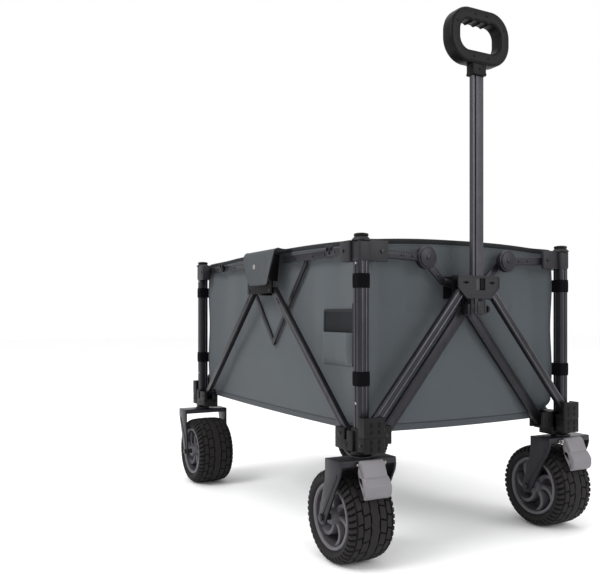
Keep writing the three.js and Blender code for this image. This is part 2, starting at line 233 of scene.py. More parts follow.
def rubber(name, color, groove):
    """Tyre rubber: dusty crowns, and groove floors painted near-black as shade, from the mesh's tread attribute."""
    n = Nodes(name)
    dust = n.noise(60, 6.0, roughness=0.7)
    crown = n.ramp(dust, [(0.35, shade(color, 0.85)), (0.6, color), (0.78, shade(color, 1.45))])
    # Groove floors take the near-black colour: painted shade in the tread's recesses.
    mix = n.tree.nodes.new("ShaderNodeMix")
    mix.data_type = "RGBA"
    n.join(n.attribute("tread"), mix.inputs["Factor"])
    n.join(crown, mix.inputs["A"])
    mix.inputs["B"].default_value = groove
    n.join(mix.outputs["Result"], n.shader.inputs["Base Color"])
    n.join(n.spread(dust, 0.66, 0.92), n.shader.inputs["Roughness"])
    n.join(n.bump(n.noise(1100, 4.0), 0.0002, 0.6), n.shader.inputs["Normal"])
    n.shader.inputs["Specular IOR Level"].default_value = 0.15
    return n.material


def plated(name, color):
    n = Nodes(name)
    wear = n.noise(180, 5.0)
    n.join(n.ramp(wear, [(0.3, shade(color, 0.75)), (0.7, color)]), n.shader.inputs["Base Color"])
    n.join(n.spread(wear, 0.18, 0.42), n.shader.inputs["Roughness"])
    n.shader.inputs["Metallic"].default_value = 1.0
    return n.material


def netting(name, color):
    """Knitted mesh panel: a grid of small round holes, painted darker inside as shade."""
    n = Nodes(name)
    node = n.tree.nodes.new("ShaderNodeTexVoronoi")
    node.inputs["Scale"].default_value = 520
    node.inputs["Randomness"].default_value = 0.15
    n.join(n.place, node.inputs["Vector"])
    holes = node.outputs["Distance"]
    # Darker towards each hole's middle: painted shade in the holes.
    stops = [(0.2, shade(color, 0.35)), (0.45, color), (0.8, shade(color, 1.3))]
    n.join(n.ramp(holes, stops), n.shader.inputs["Base Color"])
    n.join(n.spread(holes, 0.6, 0.9), n.shader.inputs["Roughness"])
    n.join(n.bump(holes, 0.0005, 0.7), n.shader.inputs["Normal"])
    n.shader.inputs["Specular IOR Level"].default_value = 0.15
    return n.material


CLOTH = woven("cloth", srgb(70, 75, 79), 0.0011, sheen=0.1)
CLOTH_FLAT = woven("cloth_flat", srgb(70, 75, 79), 0.0011, flat=True, sheen=0.1)
# The flaps are the same cloth as the walls, coloured darker: painted shade.
SHADED_FLAP_CLOTH = woven("flap_cloth_painted_shade", srgb(53, 57, 61), 0.0011, sheen=0.1)
SEWN_EDGE = woven("sewn_edge", srgb(64, 68, 72), 0.0011, sheen=0.08)
THREAD = woven("thread", srgb(44, 47, 51), 0.0009, sheen=0.08)
BINDING = woven("binding", srgb(24, 26, 29), 0.0018, sheen=0.06, contrast=0.25)
STRAP = woven("strap", srgb(10, 10, 13), 0.0016, sheen=0.0, contrast=0.3, gloss=0.04)
MESH_PANEL = netting("mesh_panel", srgb(24, 27, 30))
TUBE = metal_coat("tube", srgb(42, 41, 45), roughness=0.3, metallic=0.7)
STEEL = metal_coat("steel", srgb(42, 41, 45), roughness=0.34, metallic=0.65)
POLE_COAT = metal_coat("pole", srgb(66, 65, 69), roughness=0.3, metallic=0.7)
# A lighter coat for the thin beads along the struts and posts: painted edge highlights.
EDGE = metal_coat("edge", srgb(88, 88, 92), roughness=0.28, metallic=0.85)
CASTING = moulded("casting", srgb(30, 29, 32), roughness=0.42)
FOOT_CASTING = moulded("foot_casting", srgb(17, 17, 18), roughness=0.42, gloss=0.12)
# Near-black for the black parts, and as painted shade on the hub ears, vents, slots and the sheets under the flaps.
BLACK_AND_PAINTED_SHADE = moulded("black_parts_and_painted_shade", srgb(5, 5, 6), gloss=0.1)
RIM_PLASTIC = moulded("rim_plastic", srgb(86, 84, 88), roughness=0.42)
PEDAL_PLASTIC = moulded("pedal_plastic", srgb(108, 106, 109), roughness=0.46, scuff=0.1)
GRIP_PLASTIC = moulded("grip_plastic", srgb(12, 12, 13), roughness=0.36, grain=1500, depth=0.0002, gloss=0.1)
# The second colour is painted shade on the groove floors.
RUBBER = rubber("rubber", srgb(34, 32, 33), srgb(5, 5, 5))
NICKEL = plated("nickel", srgb(170, 168, 164))
BOLT = plated("bolt", srgb(52, 52, 55))


# ---------------------------------------------------------------- mesh tools
class Build:
    """Closed shells gathered in one mesh."""

    def __init__(self):
        self.bm = bmesh.new()

    def keep(self, other):
        mesh = bpy.data.meshes.new("part")
        other.to_mesh(mesh)
        other.free()
        self.bm.from_mesh(mesh)
        bpy.data.meshes.remove(mesh)
        return self

    def box(self, low, high, bevel=0.0015, segments=2, turn=None):
        """A rounded box between two corners; turn is a matrix applied to it afterwards."""
        bm = bmesh.new()
        low, high = Vector(low), Vector(high)
        bmesh.ops.create_cube(bm, size=1)
        span = Vector([max(abs(a), 1e-5) for a in high - low])
        bmesh.ops.scale(bm, vec=span, verts=bm.verts)
        bmesh.ops.translate(bm, vec=(low + high) / 2, verts=bm.verts)
        bevel_edges(bm, min(bevel, 0.45 * min(span)), segments)
        if turn is not None:
            bm.transform(turn)
        return self.keep(bm)

    def prism(self, points, axis, low, high, bevel=0.001, segments=2):
        """An outline pushed along an axis. Across x it is (y, z), across y (x, z), across z (x, y)."""
        bm = bmesh.new()
        place = {
            "x": lambda a, b, t: (t, a, b),
            "y": lambda a, b, t: (a, t, b),
            "z": lambda a, b, t: (a, b, t),
        }[axis]
        low, high = min(low, high), max(low, high)
        base = [bm.verts.new(place(a, b, low)) for a, b in points]
        bm.faces.new(base)
        pushed = bmesh.ops.extrude_face_region(bm, geom=bm.faces[:])
        moved = [v for v in pushed["geom"] if isinstance(v, bmesh.types.BMVert)]
        step = Vector(place(0, 0, high)) - Vector(place(0, 0, low))
        bmesh.ops.translate(bm, vec=step, verts=moved)
        bmesh.ops.recalc_face_normals(bm, faces=bm.faces)
        if bevel:
            bevel_edges(bm, bevel, segments)
        return self.keep(bm)

    def disc(self, centre, axis, radius, depth, bevel=0.0008, sides=28):
        """A round plug standing on centre and reaching depth along an axis vector."""
        bm = bmesh.new()
        bmesh.ops.create_cone(
            bm, cap_ends=True, segments=sides, radius1=radius, radius2=radius, depth=abs(depth)
        )
        if bevel:
            rims = [e for e in bm.edges if all(abs(v.co.z) > 0.49 * abs(depth) for v in e.verts)]
            rims = [e for e in rims if abs(e.verts[0].co.z - e.verts[1].co.z) < 1e-7]
            bmesh.ops.bevel(
                bm, geom=rims, offset=min(bevel, 0.4 * abs(depth)), segments=2,
                affect="EDGES", profile=0.5, clamp_overlap=True,
            )
        direction = Vector(axis).normalized() * (1 if depth > 0 else -1)
        turn = Vector((0, 0, 1)).rotation_difference(direction).to_matrix().to_4x4()
        shift = Matrix.Translation(Vector(centre) + direction * abs(depth) / 2)
        bm.transform(shift @ turn)
        return self.keep(bm)

    def lathe(self, profile, centre, axis="y", sides=64):
        """A closed profile of (radius, offset along the axis) turned about an axis through centre."""
        bm = bmesh.new()
        rings = []
        for i in range(sides):
            angle = 2 * math.pi * i / sides
            c, s = math.cos(angle), math.sin(angle)
            ring = []
            for r, w in profile:
                spot = {"y": (r * c, w, r * s), "x": (w, r * c, r * s), "z": (r * c, r * s, w)}[axis]
                ring.append(bm.verts.new(Vector(spot) + Vector(centre)))
            rings.append(ring)
        count = len(profile)
        for i in range(sides):
            a, b = rings[i], rings[(i + 1) % sides]
            for j in range(count):
                k = (j + 1) % count
                bm.faces.new((a[j], a[k], b[k], b[j]))
        bmesh.ops.recalc_face_normals(bm, faces=bm.faces)
        return self.keep(bm)

    def sweep(self, path, section, closed=False, up=(0, 0, 1)):
        """A section, a list of (side, rise), carried along a list of points."""
        bm = bmesh.new()
        path = [Vector(p) for p in path]
        count = len(path)
        rings = []
        for i, p in enumerate(path):
            before = path[i - 1] if (i or closed) else p
            after = path[(i + 1) % count] if (i + 1 < count or closed) else p
            ahead = (after - before).normalized()
            side = ahead.cross(Vector(up)).normalized()
            rise = side.cross(ahead)
            rings.append([bm.verts.new(p + side * a + rise * b) for a, b in section])
        span = len(section)
        last = count if closed else count - 1
        for i in range(last):
            a, b = rings[i], rings[(i + 1) % count]
            for j in range(span):
                k = (j + 1) % span
                bm.faces.new((a[j], a[k], b[k], b[j]))
        if not closed:
            bm.faces.new(rings[0])
            bm.faces.new(list(reversed(rings[-1])))
        bmesh.ops.recalc_face_normals(bm, faces=bm.faces)
        return self.keep(bm)


def bevel_edges(bm, offset, segments, angle=0.45):
    sharp = [
        e for e in bm.edges
        if len(e.link_faces) == 2 and e.calc_face_angle(0) > angle
    ]
    bmesh.ops.bevel(
        bm, geom=sharp, offset=offset, segments=segments,
        affect="EDGES", profile=0.5, clamp_overlap=True,
    )


def finish_piece(obj, body, material, stands_for=(), sharp=40):
    obj.data.materials.append(material)
    obj.data.shade_smooth()
    obj.data.set_sharp_from_angle(angle=math.radians(sharp))
    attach(obj, body)
    if stands_for:
        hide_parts(*([stands_for] if isinstance(stands_for, str) else stands_for))
    return obj


def place(build, name, body, material, slot, stands_for=(), sharp=40):
    mesh = bpy.data.meshes.new(name)
    build.bm.to_mesh(mesh)
    build.bm.free()
    obj = bpy.data.objects.new(name, mesh)
    bpy.context.scene.collection.objects.link(obj)
    return finish_piece(obj, body, material, stands_for, sharp)


def grid_mesh(name, rows):
    """An open grid of points as a mesh object."""
    points = [Vector(p) for row in rows for p in row]
    wide = len(rows[0])
    faces = [
        (j * wide + i, j * wide + i + 1, (j + 1) * wide + i + 1, (j + 1) * wide + i)
        for j in range(len(rows) - 1)
        for i in range(wide - 1)
    ]
    mesh = bpy.data.meshes.new(name)
    mesh.from_pydata(points, [], faces)
    obj = bpy.data.objects.new(name, mesh)
    bpy.context.scene.collection.objects.link(obj)
    return obj


def apply_modifiers(obj):
    bpy.context.view_layer.update()
    made = bpy.data.meshes.new_from_object(obj.evaluated_get(bpy.context.evaluated_depsgraph_get()))
    obj.modifiers.clear()
    obj.data = made
    return obj


def circle(radius, count, squash=1.0):
    return [
        (radius * math.cos(2 * math.pi * i / count), radius * squash * math.sin(2 * math.pi * i / count))
        for i in range(count)
    ]


def bolt(build, centre, axis, radius=3.4 * MM, depth=2.2 * MM):
    """A cap screw's head with its rim."""
    direction = Vector(axis)
    build.disc(centre, direction, radius, depth, 0.5 * MM, 20)
    build.disc(Vector(centre) + direction * depth, direction, radius * 0.5, 0.35 * MM, 0.0, 6)


# ---------------------------------------------------------------- wheels
TREAD_STEPS = 400
BLOCKS = 22  # tread blocks round the tyre
GROOVE_DEPTH = 3.6 * MM


def tyre_profile():
    """(radius, offset from the middle) round the tyre's outside, from bead to bead, evenly spaced."""
    half, r = WHEEL_W / 2, WHEEL_R
    bead = RIM_R + 0.6 * MM
    corners = [
        (bead, half - 7 * MM), (bead + 4 * MM, half - 2 * MM), (bead + 9 * MM, half - 0.4 * MM),
        (r - 14 * MM, half - 0.3 * MM), (r - 8 * MM, half - 2.5 * MM), (r - 3.6 * MM, half - 8.5 * MM),
        (r - 1.5 * MM, half - 18 * MM), (r - 0.5 * MM, half - 32 * MM), (r, 0.0),
    ]
    side = corners + [(a, -b) for a, b in reversed(corners[:-1])]
    lengths = [0.0]
    for (a, b), (c, d) in zip(side, side[1:]):
        lengths.append(lengths[-1] + math.hypot(c - a, d - b))
    count = 104
    samples = np.linspace(0, lengths[-1], count)
    return np.interp(samples, lengths, [a for a, _ in side]), np.interp(samples, lengths, [b for _, b in side])


def tread_depth(turn, offset, radius):
    """How deep the tread is cut at a place, from 0 on a block to 1 on a groove's floor."""
    reach = abs(offset) / MM
    phase = turn * BLOCKS
    side = 0.5 if offset > 0 else 0.0
    wobble = 1.3 * (2 * abs((phase + side) % 1 - 0.5) - 0.5)
    if reach < 9 + wobble * 0.4:
        return 0.0
    if reach < 11.2 + wobble * 0.4:
        return 1.0
    slant = reach * 0.012
    width = 0.085
    if reach < 25 + wobble:
        return 1.0 if abs((phase + side + slant) % 1 - 0.5) > 0.5 - width / 2 else 0.0
    if reach < 27 + wobble:
        return 1.0
    if reach < 38:
        return 1.0 if abs((phase + side + slant + 0.5) % 1 - 0.5) > 0.5 - width / 2 else 0.0
    if reach < 39.6:
        return 0.75
    lug = (phase * 2 + side + reach * 0.03) % 1
    if radius > WHEEL_R - 15 * MM:
        return 1.0 if lug < 0.36 else 0.0
    return 0.0


def tyre_mesh():
    radii, offsets = tyre_profile()
    angles = np.arange(TREAD_STEPS) / TREAD_STEPS
    points, cut = [], []
    for t in angles:
        c, s = math.cos(2 * math.pi * t), math.sin(2 * math.pi * t)
        for r, w in zip(radii, offsets):
            depth = tread_depth(t, w, r)
            lean = 0.35 if abs(w) > WHEEL_W / 2 - 6 * MM else 0.0
            near = r - GROOVE_DEPTH * depth
            aside = w - math.copysign(GROOVE_DEPTH * depth * lean, w)
            points.append((near * c, aside, near * s))
            cut.append(depth)
    wide = len(radii)
    inner = len(points)
    bore = RIM_R + 0.3 * MM
    for t in angles:
        c, s = math.cos(2 * math.pi * t), math.sin(2 * math.pi * t)
        for w in (-(WHEEL_W / 2 - 9 * MM), WHEEL_W / 2 - 9 * MM):
            points.append((bore * c, w, bore * s))
            cut.append(0.0)
    faces = []
    for i in range(TREAD_STEPS):
        j = (i + 1) % TREAD_STEPS
        faces += [(i * wide + k, i * wide + k + 1, j * wide + k + 1, j * wide + k) for k in range(wide - 1)]
        a, b = inner + 2 * i, inner + 2 * j
        faces.append((i * wide + wide - 1, a, b, j * wide + wide - 1))
        faces.append((a, a + 1, b + 1, b))
        faces.append((a + 1, i * wide, j * wide, b + 1))
    mesh = bpy.data.meshes.new("tyre")
    mesh.from_pydata(points, [], faces)
    # The cut depth, kept as 'tread', also colours the groove floors near-black as painted shade.
    attribute = mesh.attributes.new("tread", "FLOAT", "POINT")
    attribute.data.foreach_set("value", cut)
    bm = bmesh.new()
    bm.from_mesh(mesh)
    bmesh.ops.recalc_face_normals(bm, faces=bm.faces)
    bm.to_mesh(mesh)
    bm.free()
    return mesh


def rim_build():
    """A lipped barrel with a dished disc and seven swept spokes on each side."""
    build = Build()
    half = WHEEL_W / 2 - 6 * MM
    r = RIM_R
    barrel = [
        (r - 0.2 * MM, -half), (r - 0.2 * MM, half), (r - 2.2 * MM, half + 1.6 * MM),
        (r - 6 * MM, half + 1.2 * MM), (r - 8 * MM, half - 1.5 * MM), (r - 7.2 * MM, half - 6 * MM),
        (r - 4 * MM, half - 14 * MM), (r - 4 * MM, -half + 14 * MM), (r - 7.2 * MM, -half + 6 * MM),
        (r - 8 * MM, -half + 1.5 * MM), (r - 6 * MM, -half - 1.2 * MM), (r - 2.2 * MM, -half - 1.6 * MM),
    ]
    build.lathe(barrel, (0, 0, 0), sides=96)
    disc = [
        (15 * MM, -12 * MM), (30 * MM, -7 * MM), (r - 3 * MM, -4 * MM),
        (r - 3 * MM, 4 * MM), (30 * MM, 7 * MM), (15 * MM, 12 * MM),
    ]
    build.lathe(disc, (0, 0, 0), sides=72)
    hub = [
        (7.2 * MM, -half - 2 * MM), (14 * MM, -half - 2 * MM), (16 * MM, -half + 1 * MM),
        (18 * MM, 0), (16 * MM, half - 1 * MM), (14 * MM, half + 2 * MM), (7.2 * MM, half + 2 * MM),
    ]
    build.lathe(hub, (0, 0, 0), sides=40)
    spokes, sweep, steps = 7, 0.62, 9
    for side in (-1, 1):
        for i in range(spokes):
            start = 2 * math.pi * i / spokes
            near, far = [], []
            for k in range(steps + 1):
                t = k / steps
                rho = 15 * MM + (r - 21 * MM) * t
                angle = start + side * sweep * t * t
                half_width = (5.5 - 2.2 * math.sin(math.pi * t) + 3.0 * t * t) * MM / rho
                near.append((rho * math.cos(angle - half_width), rho * math.sin(angle - half_width)))
                far.append((rho * math.cos(angle + half_width), rho * math.sin(angle + half_width)))
            build.prism(near + far[::-1], "y", side * 3 * MM, side * (half - 9 * MM), bevel=1.4 * MM)
    return build


def wheels():
    shared = tyre_mesh()
    for corner in CORNERS:
        centre = middle(f"tyre_{corner}")
        mesh = shared.copy()
        mesh.transform(Matrix.Translation(centre))
        tyre = bpy.data.objects.new(f"tyre_tread_{corner}", mesh)
        bpy.context.scene.collection.objects.link(tyre)
        finish_piece(tyre, f"wheel_{corner}", RUBBER, f"tyre_{corner}", sharp=30)
        build = rim_build()
        build.bm.transform(Matrix.Translation(centre))
        place(build, f"spoked_rim_{corner}", f"wheel_{corner}", RIM_PLASTIC, "rim", f"rim_{corner}")


# ---------------------------------------------------------------- forks and foot castings
def fork_legs(build, sx, sy, lean):
    top = FORK_TOP_Z
    for side in (-1, 1):
        near = sy * POST_Y + side * 59.2 * MM
        far = sy * POST_Y + side * 64 * MM
        leg = [
            (26, 210.6), (27.2, 196), (24, 184), (14 - lean, 90), (9 - lean, 81), (0 - lean, 77.5),
            (-9 - lean, 81), (-14 - lean, 92), (-29.5, 172), (-29.5, 210.6),
        ]
        points = [(sx * (POST_X + a * MM), b * MM) for a, b in leg]
        build.prism(points, "y", near, far, bevel=1.2 * MM)
        rib = [(14, 186), (-14 - lean * 0.4, 130), (-3 - lean, 96), (3 - lean, 96), (16, 180)]
        points = [(sx * (POST_X + a * MM), b * MM) for a, b in rib]
        build.prism(points, "y", far, far + side * 1.2 * MM, bevel=0.5 * MM)
    low = (sx * POST_X - 26.6 * MM, sy * POST_Y - 63.6 * MM, top - 12 * MM)
    high = (sx * POST_X + 27 * MM, sy * POST_Y + 63.6 * MM, top)
    build.box(low, high, bevel=1.8 * MM, segments=3)


def axle(corner, body, centre):
    build = Build()
    reach = WHEEL_W / 2 + 15 * MM
    build.disc(centre - Vector((0, reach, 0)), (0, 1, 0), 6 * MM, 2 * reach, 0.8 * MM, 24)
    for side in (-1, 1):
        spot = centre + Vector((0, side * 64.2 * MM, 0))
        build.disc(spot, (0, side, 0), 9.5 * MM, 1.2 * MM, 0.3 * MM, 28)
        build.disc(spot, (0, side, 0), 7.4 * MM, 4.6 * MM, 0.8 * MM, 6)
    place(build, f"axle_{corner}", body, BOLT, "nickel")


def forks():
    for corner in CORNERS:
        sx, sy = signs(corner)
        front = corner[0] == "f"
        lean = 41 if front else 29.5
        build = Build()
        fork_legs(build, sx, sy, lean)
        if front:
            build.disc((sx * POST_X, sy * POST_Y, FORK_TOP_Z - MM), (0, 0, 1), 22 * MM, 4.6 * MM, MM, 40)
            place(build, f"fork_{corner}", f"fork_{corner}", STEEL, "steel", f"swivel_fork_{corner}")
            axle(corner, f"fork_{corner}", middle(f"tyre_{corner}"))
        else:
            build.disc((sx * POST_X, sy * POST_Y, FORK_TOP_Z - MM), (0, 0, 1), 20 * MM, 5 * MM, MM, 40)
            place(build, f"fork_{corner}", f"corner_{corner}", STEEL, "steel", f"rear_foot_and_fork_{corner}")
            axle(corner, f"corner_{corner}", middle(f"tyre_{corner}"))


def foot_castings():
    for corner in CORNERS:
        sx, sy = signs(corner)
        body = f"corner_{corner}"
        build = Build()

        def block(x, y, z, bevel=1.6 * MM):
            xs, ys = sorted(v * sx * MM for v in x), sorted(v * sy * MM for v in y)
            build.box((xs[0], ys[0], z[0] * MM), (xs[1], ys[1], z[1] * MM), bevel, 3)

        block((413, 441), (256, 286), (215.4, 267))
        block((440, 465), (241, 288), (222, 251.6), 2.4 * MM)
        block((440, 464.6), (241.4, 287.6), (251, 262), 1.2 * MM)
        block((456, 465), (241, 288), (252.4, 290), 1.8 * MM)
        block((440, 464.8), (283, 287.8), (252.4, 290), 1.8 * MM)
        block((362, 414), (254, 291), (222, 243), 2.2 * MM)
        block((405, 427), (284, 290.8), (222, 262), 1.8 * MM)
        block((362, 397), (282, 290.8), (236, 264))
        block((362, 397), (254, 266), (236, 264))
        block((396, 436), (236, 257), (215.6, 268))
        if corner[0] == "f":
            block((430.5, 436), (205, 258), (232, 268))
            block((396, 403), (205, 258), (232, 268))
        nodes = f"foot_casting_{corner}" if corner[0] == "f" else f"rear_foot_and_fork_{corner}"
        place(build, f"foot_casting_shell_{corner}", body, FOOT_CASTING, "casting", nodes)

        # Near-black patches where the vents are: painted shade in the openings.
        vents = Build()
        face = sx * 465 * MM
        for column in (-9, 9):
            y = sy * 264 * MM + column * MM
            for low, high in ((226, 236), (239, 249), (259, 267), (271, 281)):
                vents.box((face - 0.8 * MM, y - 3 * MM, low * MM), (face + 0.3 * MM, y + 3 * MM, high * MM), 0.5 * MM)
        place(vents, f"foot_vents_{corner}", body, BLACK_AND_PAINTED_SHADE, "black_plastic")

        bolts = Build()
        bolt(bolts, (sx * 452 * MM, sy * 288 * MM, 237 * MM), (0, sy, 0), 3 * MM, 1.6 * MM)
        bolt(bolts, (sx * 380 * MM, sy * 290.8 * MM, 252 * MM), (0, sy, 0), 3.2 * MM, 1.6 * MM)
        bolt(bolts, (sx * 401 * MM, sy * 291 * MM, 232 * MM), (0, sy, 0), 2.4 * MM, 1.4 * MM)
        if corner[0] == "f":
            bolt(bolts, (sx * 436 * MM, sy * 218 * MM, 250 * MM), (sx, 0, 0), 4 * MM, 2.2 * MM)
        place(bolts, f"foot_bolts_{corner}", body, BOLT, "nickel")


def brake_pedals():
    for corner in ("fr", "fl"):
        sy = signs(corner)[1]
        body = f"brake_pedal_{corner}"
        y0 = sy * POST_Y
        upper = [(457.5, 211), (464, 211), (470, 205), (480, 181), (476, 176), (456, 196), (455.4, 207)]
        lower = [
            (463, 183), (478, 182), (484, 176), (490, 166), (490, 152), (487, 146), (481, 141),
            (477, 142.5), (481, 150), (480, 157), (470, 168), (460, 178),
        ]
        for name, outline, half in (("step", upper, 26), ("plate", lower, 28.6)):
            build = Build()
            points = [(a * MM, b * MM) for a, b in outline]
            build.prism(points, "y", y0 - half * MM, y0 + half * MM, bevel=2.6 * MM, segments=4)
            if name == "plate":
                for side in (-1, 1):
                    points = [(461, 200), (472, 184), (478, 164), (481, 144), (466, 168), (459, 190)]
                    flank = [(a * MM, b * MM) for a, b in points]
                    edge = y0 + side * 28.6 * MM
                    build.prism(flank, "y", edge - side * 3 * MM, edge, bevel=0.8 * MM)
            stands_for = f"brake_pedal_{corner}" if name == "plate" else ()
            place(build, f"pedal_{name}_{corner}", body, PEDAL_PLASTIC, "pedal", stands_for)
        hinge = Build()
        hinge.disc((458 * MM, y0 - 31 * MM, 203 * MM), (0, 1, 0), 2.4 * MM, 62 * MM, 0.5 * MM, 18)
        coil = [
            (
                458 * MM + 4.4 * MM * math.cos(t * 0.55),
                y0 - 34 * MM * sy + sy * t * 0.16 * MM,
                203 * MM + 4.4 * MM * math.sin(t * 0.55),
            )
            for t in range(46)
        ]
        hinge.sweep(coil, circle(0.75 * MM, 8), up=(0, 1, 0))
        place(hinge, f"pedal_hinge_{corner}", body, NICKEL, "nickel")


# ---------------------------------------------------------------- posts, castings and straps
def post_tube(build, x, y, low, high):
    """A square extrusion with round corners and two flutes on each face."""
    half, corner, flute, depth = 12 * MM, 4.5 * MM, 2.6 * MM, 1.3 * MM
    quarter = []
    for k in range(5):
        a = -math.pi / 2 + k * math.pi / 8
        quarter.append((half - corner + corner * math.cos(a), -half + corner + corner * math.sin(a)))
    quarter += [
        (half, -flute - 1.2 * MM), (half - depth, -flute), (half - depth, flute), (half, flute + 1.2 * MM),
    ]
    points = []
    for turn in range(4):
        c, s = round(math.cos(turn * math.pi / 2)), round(math.sin(turn * math.pi / 2))
        points += [(x + a * c - b * s, y + a * s + b * c) for a, b in quarter]
    build.prism(points, "z", low, high, bevel=0)


def posts():
    for corner in CORNERS:
        sx, sy = signs(corner)
        body = f"corner_{corner}"
        x, y = sx * POST_X, sy * POST_Y
        tube = Build()
        post_tube(tube, x, y, 229 * MM, 628 * MM)
        place(tube, f"post_tube_{corner}", body, TUBE, "tube", f"corner_post_{corner}", sharp=25)
        # Lighter strips beside each flute: painted edge highlights.
        beads = Build()
        for offset in (-4.2 * MM, 4.2 * MM):
            for face in (-1, 1):
                near, far = sorted((face * 11.6 * MM, face * 12.25 * MM))
                w = 0.55 * MM
                beads.box((x + near, y + offset - w, 250 * MM), (x + far, y + offset + w, 588 * MM), 0.2 * MM)
                beads.box((x + offset - w, y + near, 250 * MM), (x + offset + w, y + far, 588 * MM), 0.2 * MM)
        place(beads, f"post_highlight_beads_{corner}", body, EDGE, "tube")

        cast = Build()
        low, high = CASTING_Z

        def block(xs, ys, trim=0.0, bevel=1.6 * MM):
            xs, ys = sorted(sx * v * MM for v in xs), sorted(sy * v * MM for v in ys)
            cast.box((xs[0], ys[0], low + trim), (xs[1], ys[1], high - trim), bevel, 3)

        half = 13.6 * MM
        cast.box((x - half, y - half, low - 0.4 * MM), (x + half, y + half, high + 0.4 * MM), 5 * MM, 4)
        block((426, 433), (211, 262))
        block((413, 432.7), (238, 261.7), 0.3 * MM)
        block((378, 413.5), (266.2, 290), 0, 2.4 * MM)
        block((405, 424), (266.5, 283), 0.6 * MM)
        shoulder = [
            (0.3 * MM, 628.6 * MM), (18.6 * MM, 628.6 * MM), (18.4 * MM, 630.6 * MM), (13.4 * MM, 635.8 * MM),
            (0.3 * MM, 636.4 * MM),
        ]
        cast.lathe(shoulder, (x, y, 0), axis="z", sides=48)
        place(cast, f"corner_casting_{corner}", body, CASTING, "casting", f"corner_post_{corner}")

        cap = Build()
        dome = [
            (0.3 * MM, 634 * MM), (13.2 * MM, 634 * MM), (13.4 * MM, 636.8 * MM), (14.2 * MM, 637.6 * MM),
            (14.6 * MM, 639.4 * MM), (13.6 * MM, 641.6 * MM), (9 * MM, 642.8 * MM), (0.3 * MM, 643 * MM),
        ]
        cap.lathe(dome, (x, y, 0), axis="z", sides=48)
        place(cap, f"post_cap_{corner}", body, GRIP_PLASTIC, "black_plastic", f"corner_post_{corner}")

        bolts = Build()
        bolt(bolts, (sx * 433 * MM, sy * 226 * MM, 609 * MM), (sx, 0, 0), 3.8 * MM)
        bolt(bolts, (sx * 391 * MM, sy * 290 * MM, 610 * MM), (0, sy, 0), 3.8 * MM, 1.6 * MM)
        place(bolts, f"casting_bolts_{corner}", body, BOLT, "nickel")

        snaps = Build()
        for z in (585, 315):
            spot = Vector((x, y + sy * 11.4 * MM, z * MM))
            snaps.disc(spot, (0, sy, 0), 2.8 * MM, 1.8 * MM, 0.7 * MM, 24)
        place(snaps, f"post_rivets_{corner}", body, NICKEL, "nickel")
        straps(corner, body, x, y, sx, sy)


def straps(corner, body, x, y, sx, sy):
    """Two webbing loops hold the cloth to each post: each wraps round it and runs to the tub's corner."""
    for level, (low, high) in enumerate(((537, 565), (348, 376))):
        build = Build()
        half = 13.4 * MM
        loop = []
        for turn in range(4):
            for k in range(5):
                a = turn * math.pi / 2 + k * math.pi / 8
                cx = (half - 5 * MM) * (1 if turn in (0, 3) else -1)
                cy = (half - 5 * MM) * (1 if turn in (0, 1) else -1)
                loop.append((cx + 5 * MM * math.cos(a), cy + 5 * MM * math.sin(a)))
        inner = [(a * 0.93, b * 0.93) for a, b in loop]
        count = len(loop)
        bm = bmesh.new()
        rows = []
        for k, z in enumerate(np.linspace(low * MM, high * MM, 9)):
            swell = 1 + 0.02 * math.sin(math.pi * k / 8) - (0.015 if k in (0, 8) else 0)
            rows.append([bm.verts.new((x + a * swell, y + b * swell, z)) for a, b in loop])
        back = [[bm.verts.new((x + a, y + b, z)) for a, b in inner] for z in (high * MM, low * MM)]
        rings = rows + back
        for k in range(len(rings)):
            a, b = rings[k], rings[(k + 1) % len(rings)]
            for j in range(count):
                bm.faces.new((a[j], a[(j + 1) % count], b[(j + 1) % count], b[j]))
        bmesh.ops.recalc_face_normals(bm, faces=bm.faces)
        build.keep(bm)
        level_z = (low + high) / 2 * MM
        level_v = (level_z - hem_z(1)) / (rim_z(1) - hem_z(1))
        cloth_corner = (side_point(sy, sx, level_v, 0) + end_point(sx, sy, level_v, 0)) / 2
        ends = [Vector((x - sx * 9 * MM, y - sy * 9 * MM, 0)), Vector((cloth_corner.x, cloth_corner.y, 0))]
        tab = (ends[1] - ends[0])
        angle = math.atan2(tab.y, tab.x)
        spot = Matrix.Translation((ends[0] + ends[1]) / 2 + Vector((0, 0, level_z))) @ Matrix.Rotation(angle, 4, "Z")
        reach, rise = tab.length / 2 + 2 * MM, (high - low) / 2 * MM
        build.box((-reach, -1 * MM, -rise), (reach, 1 * MM, rise), 0.5 * MM, 2, spot)
        place(build, f"post_strap_{level}_{corner}", body, STRAP, "binding")


# ---------------------------------------------------------------- scissor frame
def bar_ends(p, q, reach):
    """The two ends of a bar with `reach` beyond each pivot."""
    p, q = Vector(p), Vector(q)
    ahead = (q - p).normalized()
    return p - ahead * reach, q + ahead * reach


def fluted_bar(build, beads, p, q, axis, lo, hi, half, face):
    """An extruded strut: a rounded bar, with a bead down each long edge of its outer face in `beads`. Given their own
    lighter coat, as on the struts, the beads are painted edge highlights.
    """
    a, b = bar_ends(p, q, half * 0.45)
    ahead = (b - a).normalized()
    across = Vector((-ahead.y, ahead.x))
    corners = [a + across * half, b + across * half, b - across * half, a - across * half]
    build.prism([tuple(v) for v in corners], axis, lo, hi, bevel=2.6 * MM, segments=3)
    near, far = (hi - 0.6 * MM, hi + 0.5 * MM) if face > 0 else (lo - 0.5 * MM, lo + 0.6 * MM)
    inset = half * 0.62
    for side in (-1, 1):
        c, d = a + ahead * 3 * MM + across * side * inset, b - ahead * 3 * MM + across * side * inset
        w = across * 0.9 * MM
        beads.prism([tuple(c + w), tuple(d + w), tuple(d - w), tuple(c - w)], axis, near, far, bevel=0.4 * MM)


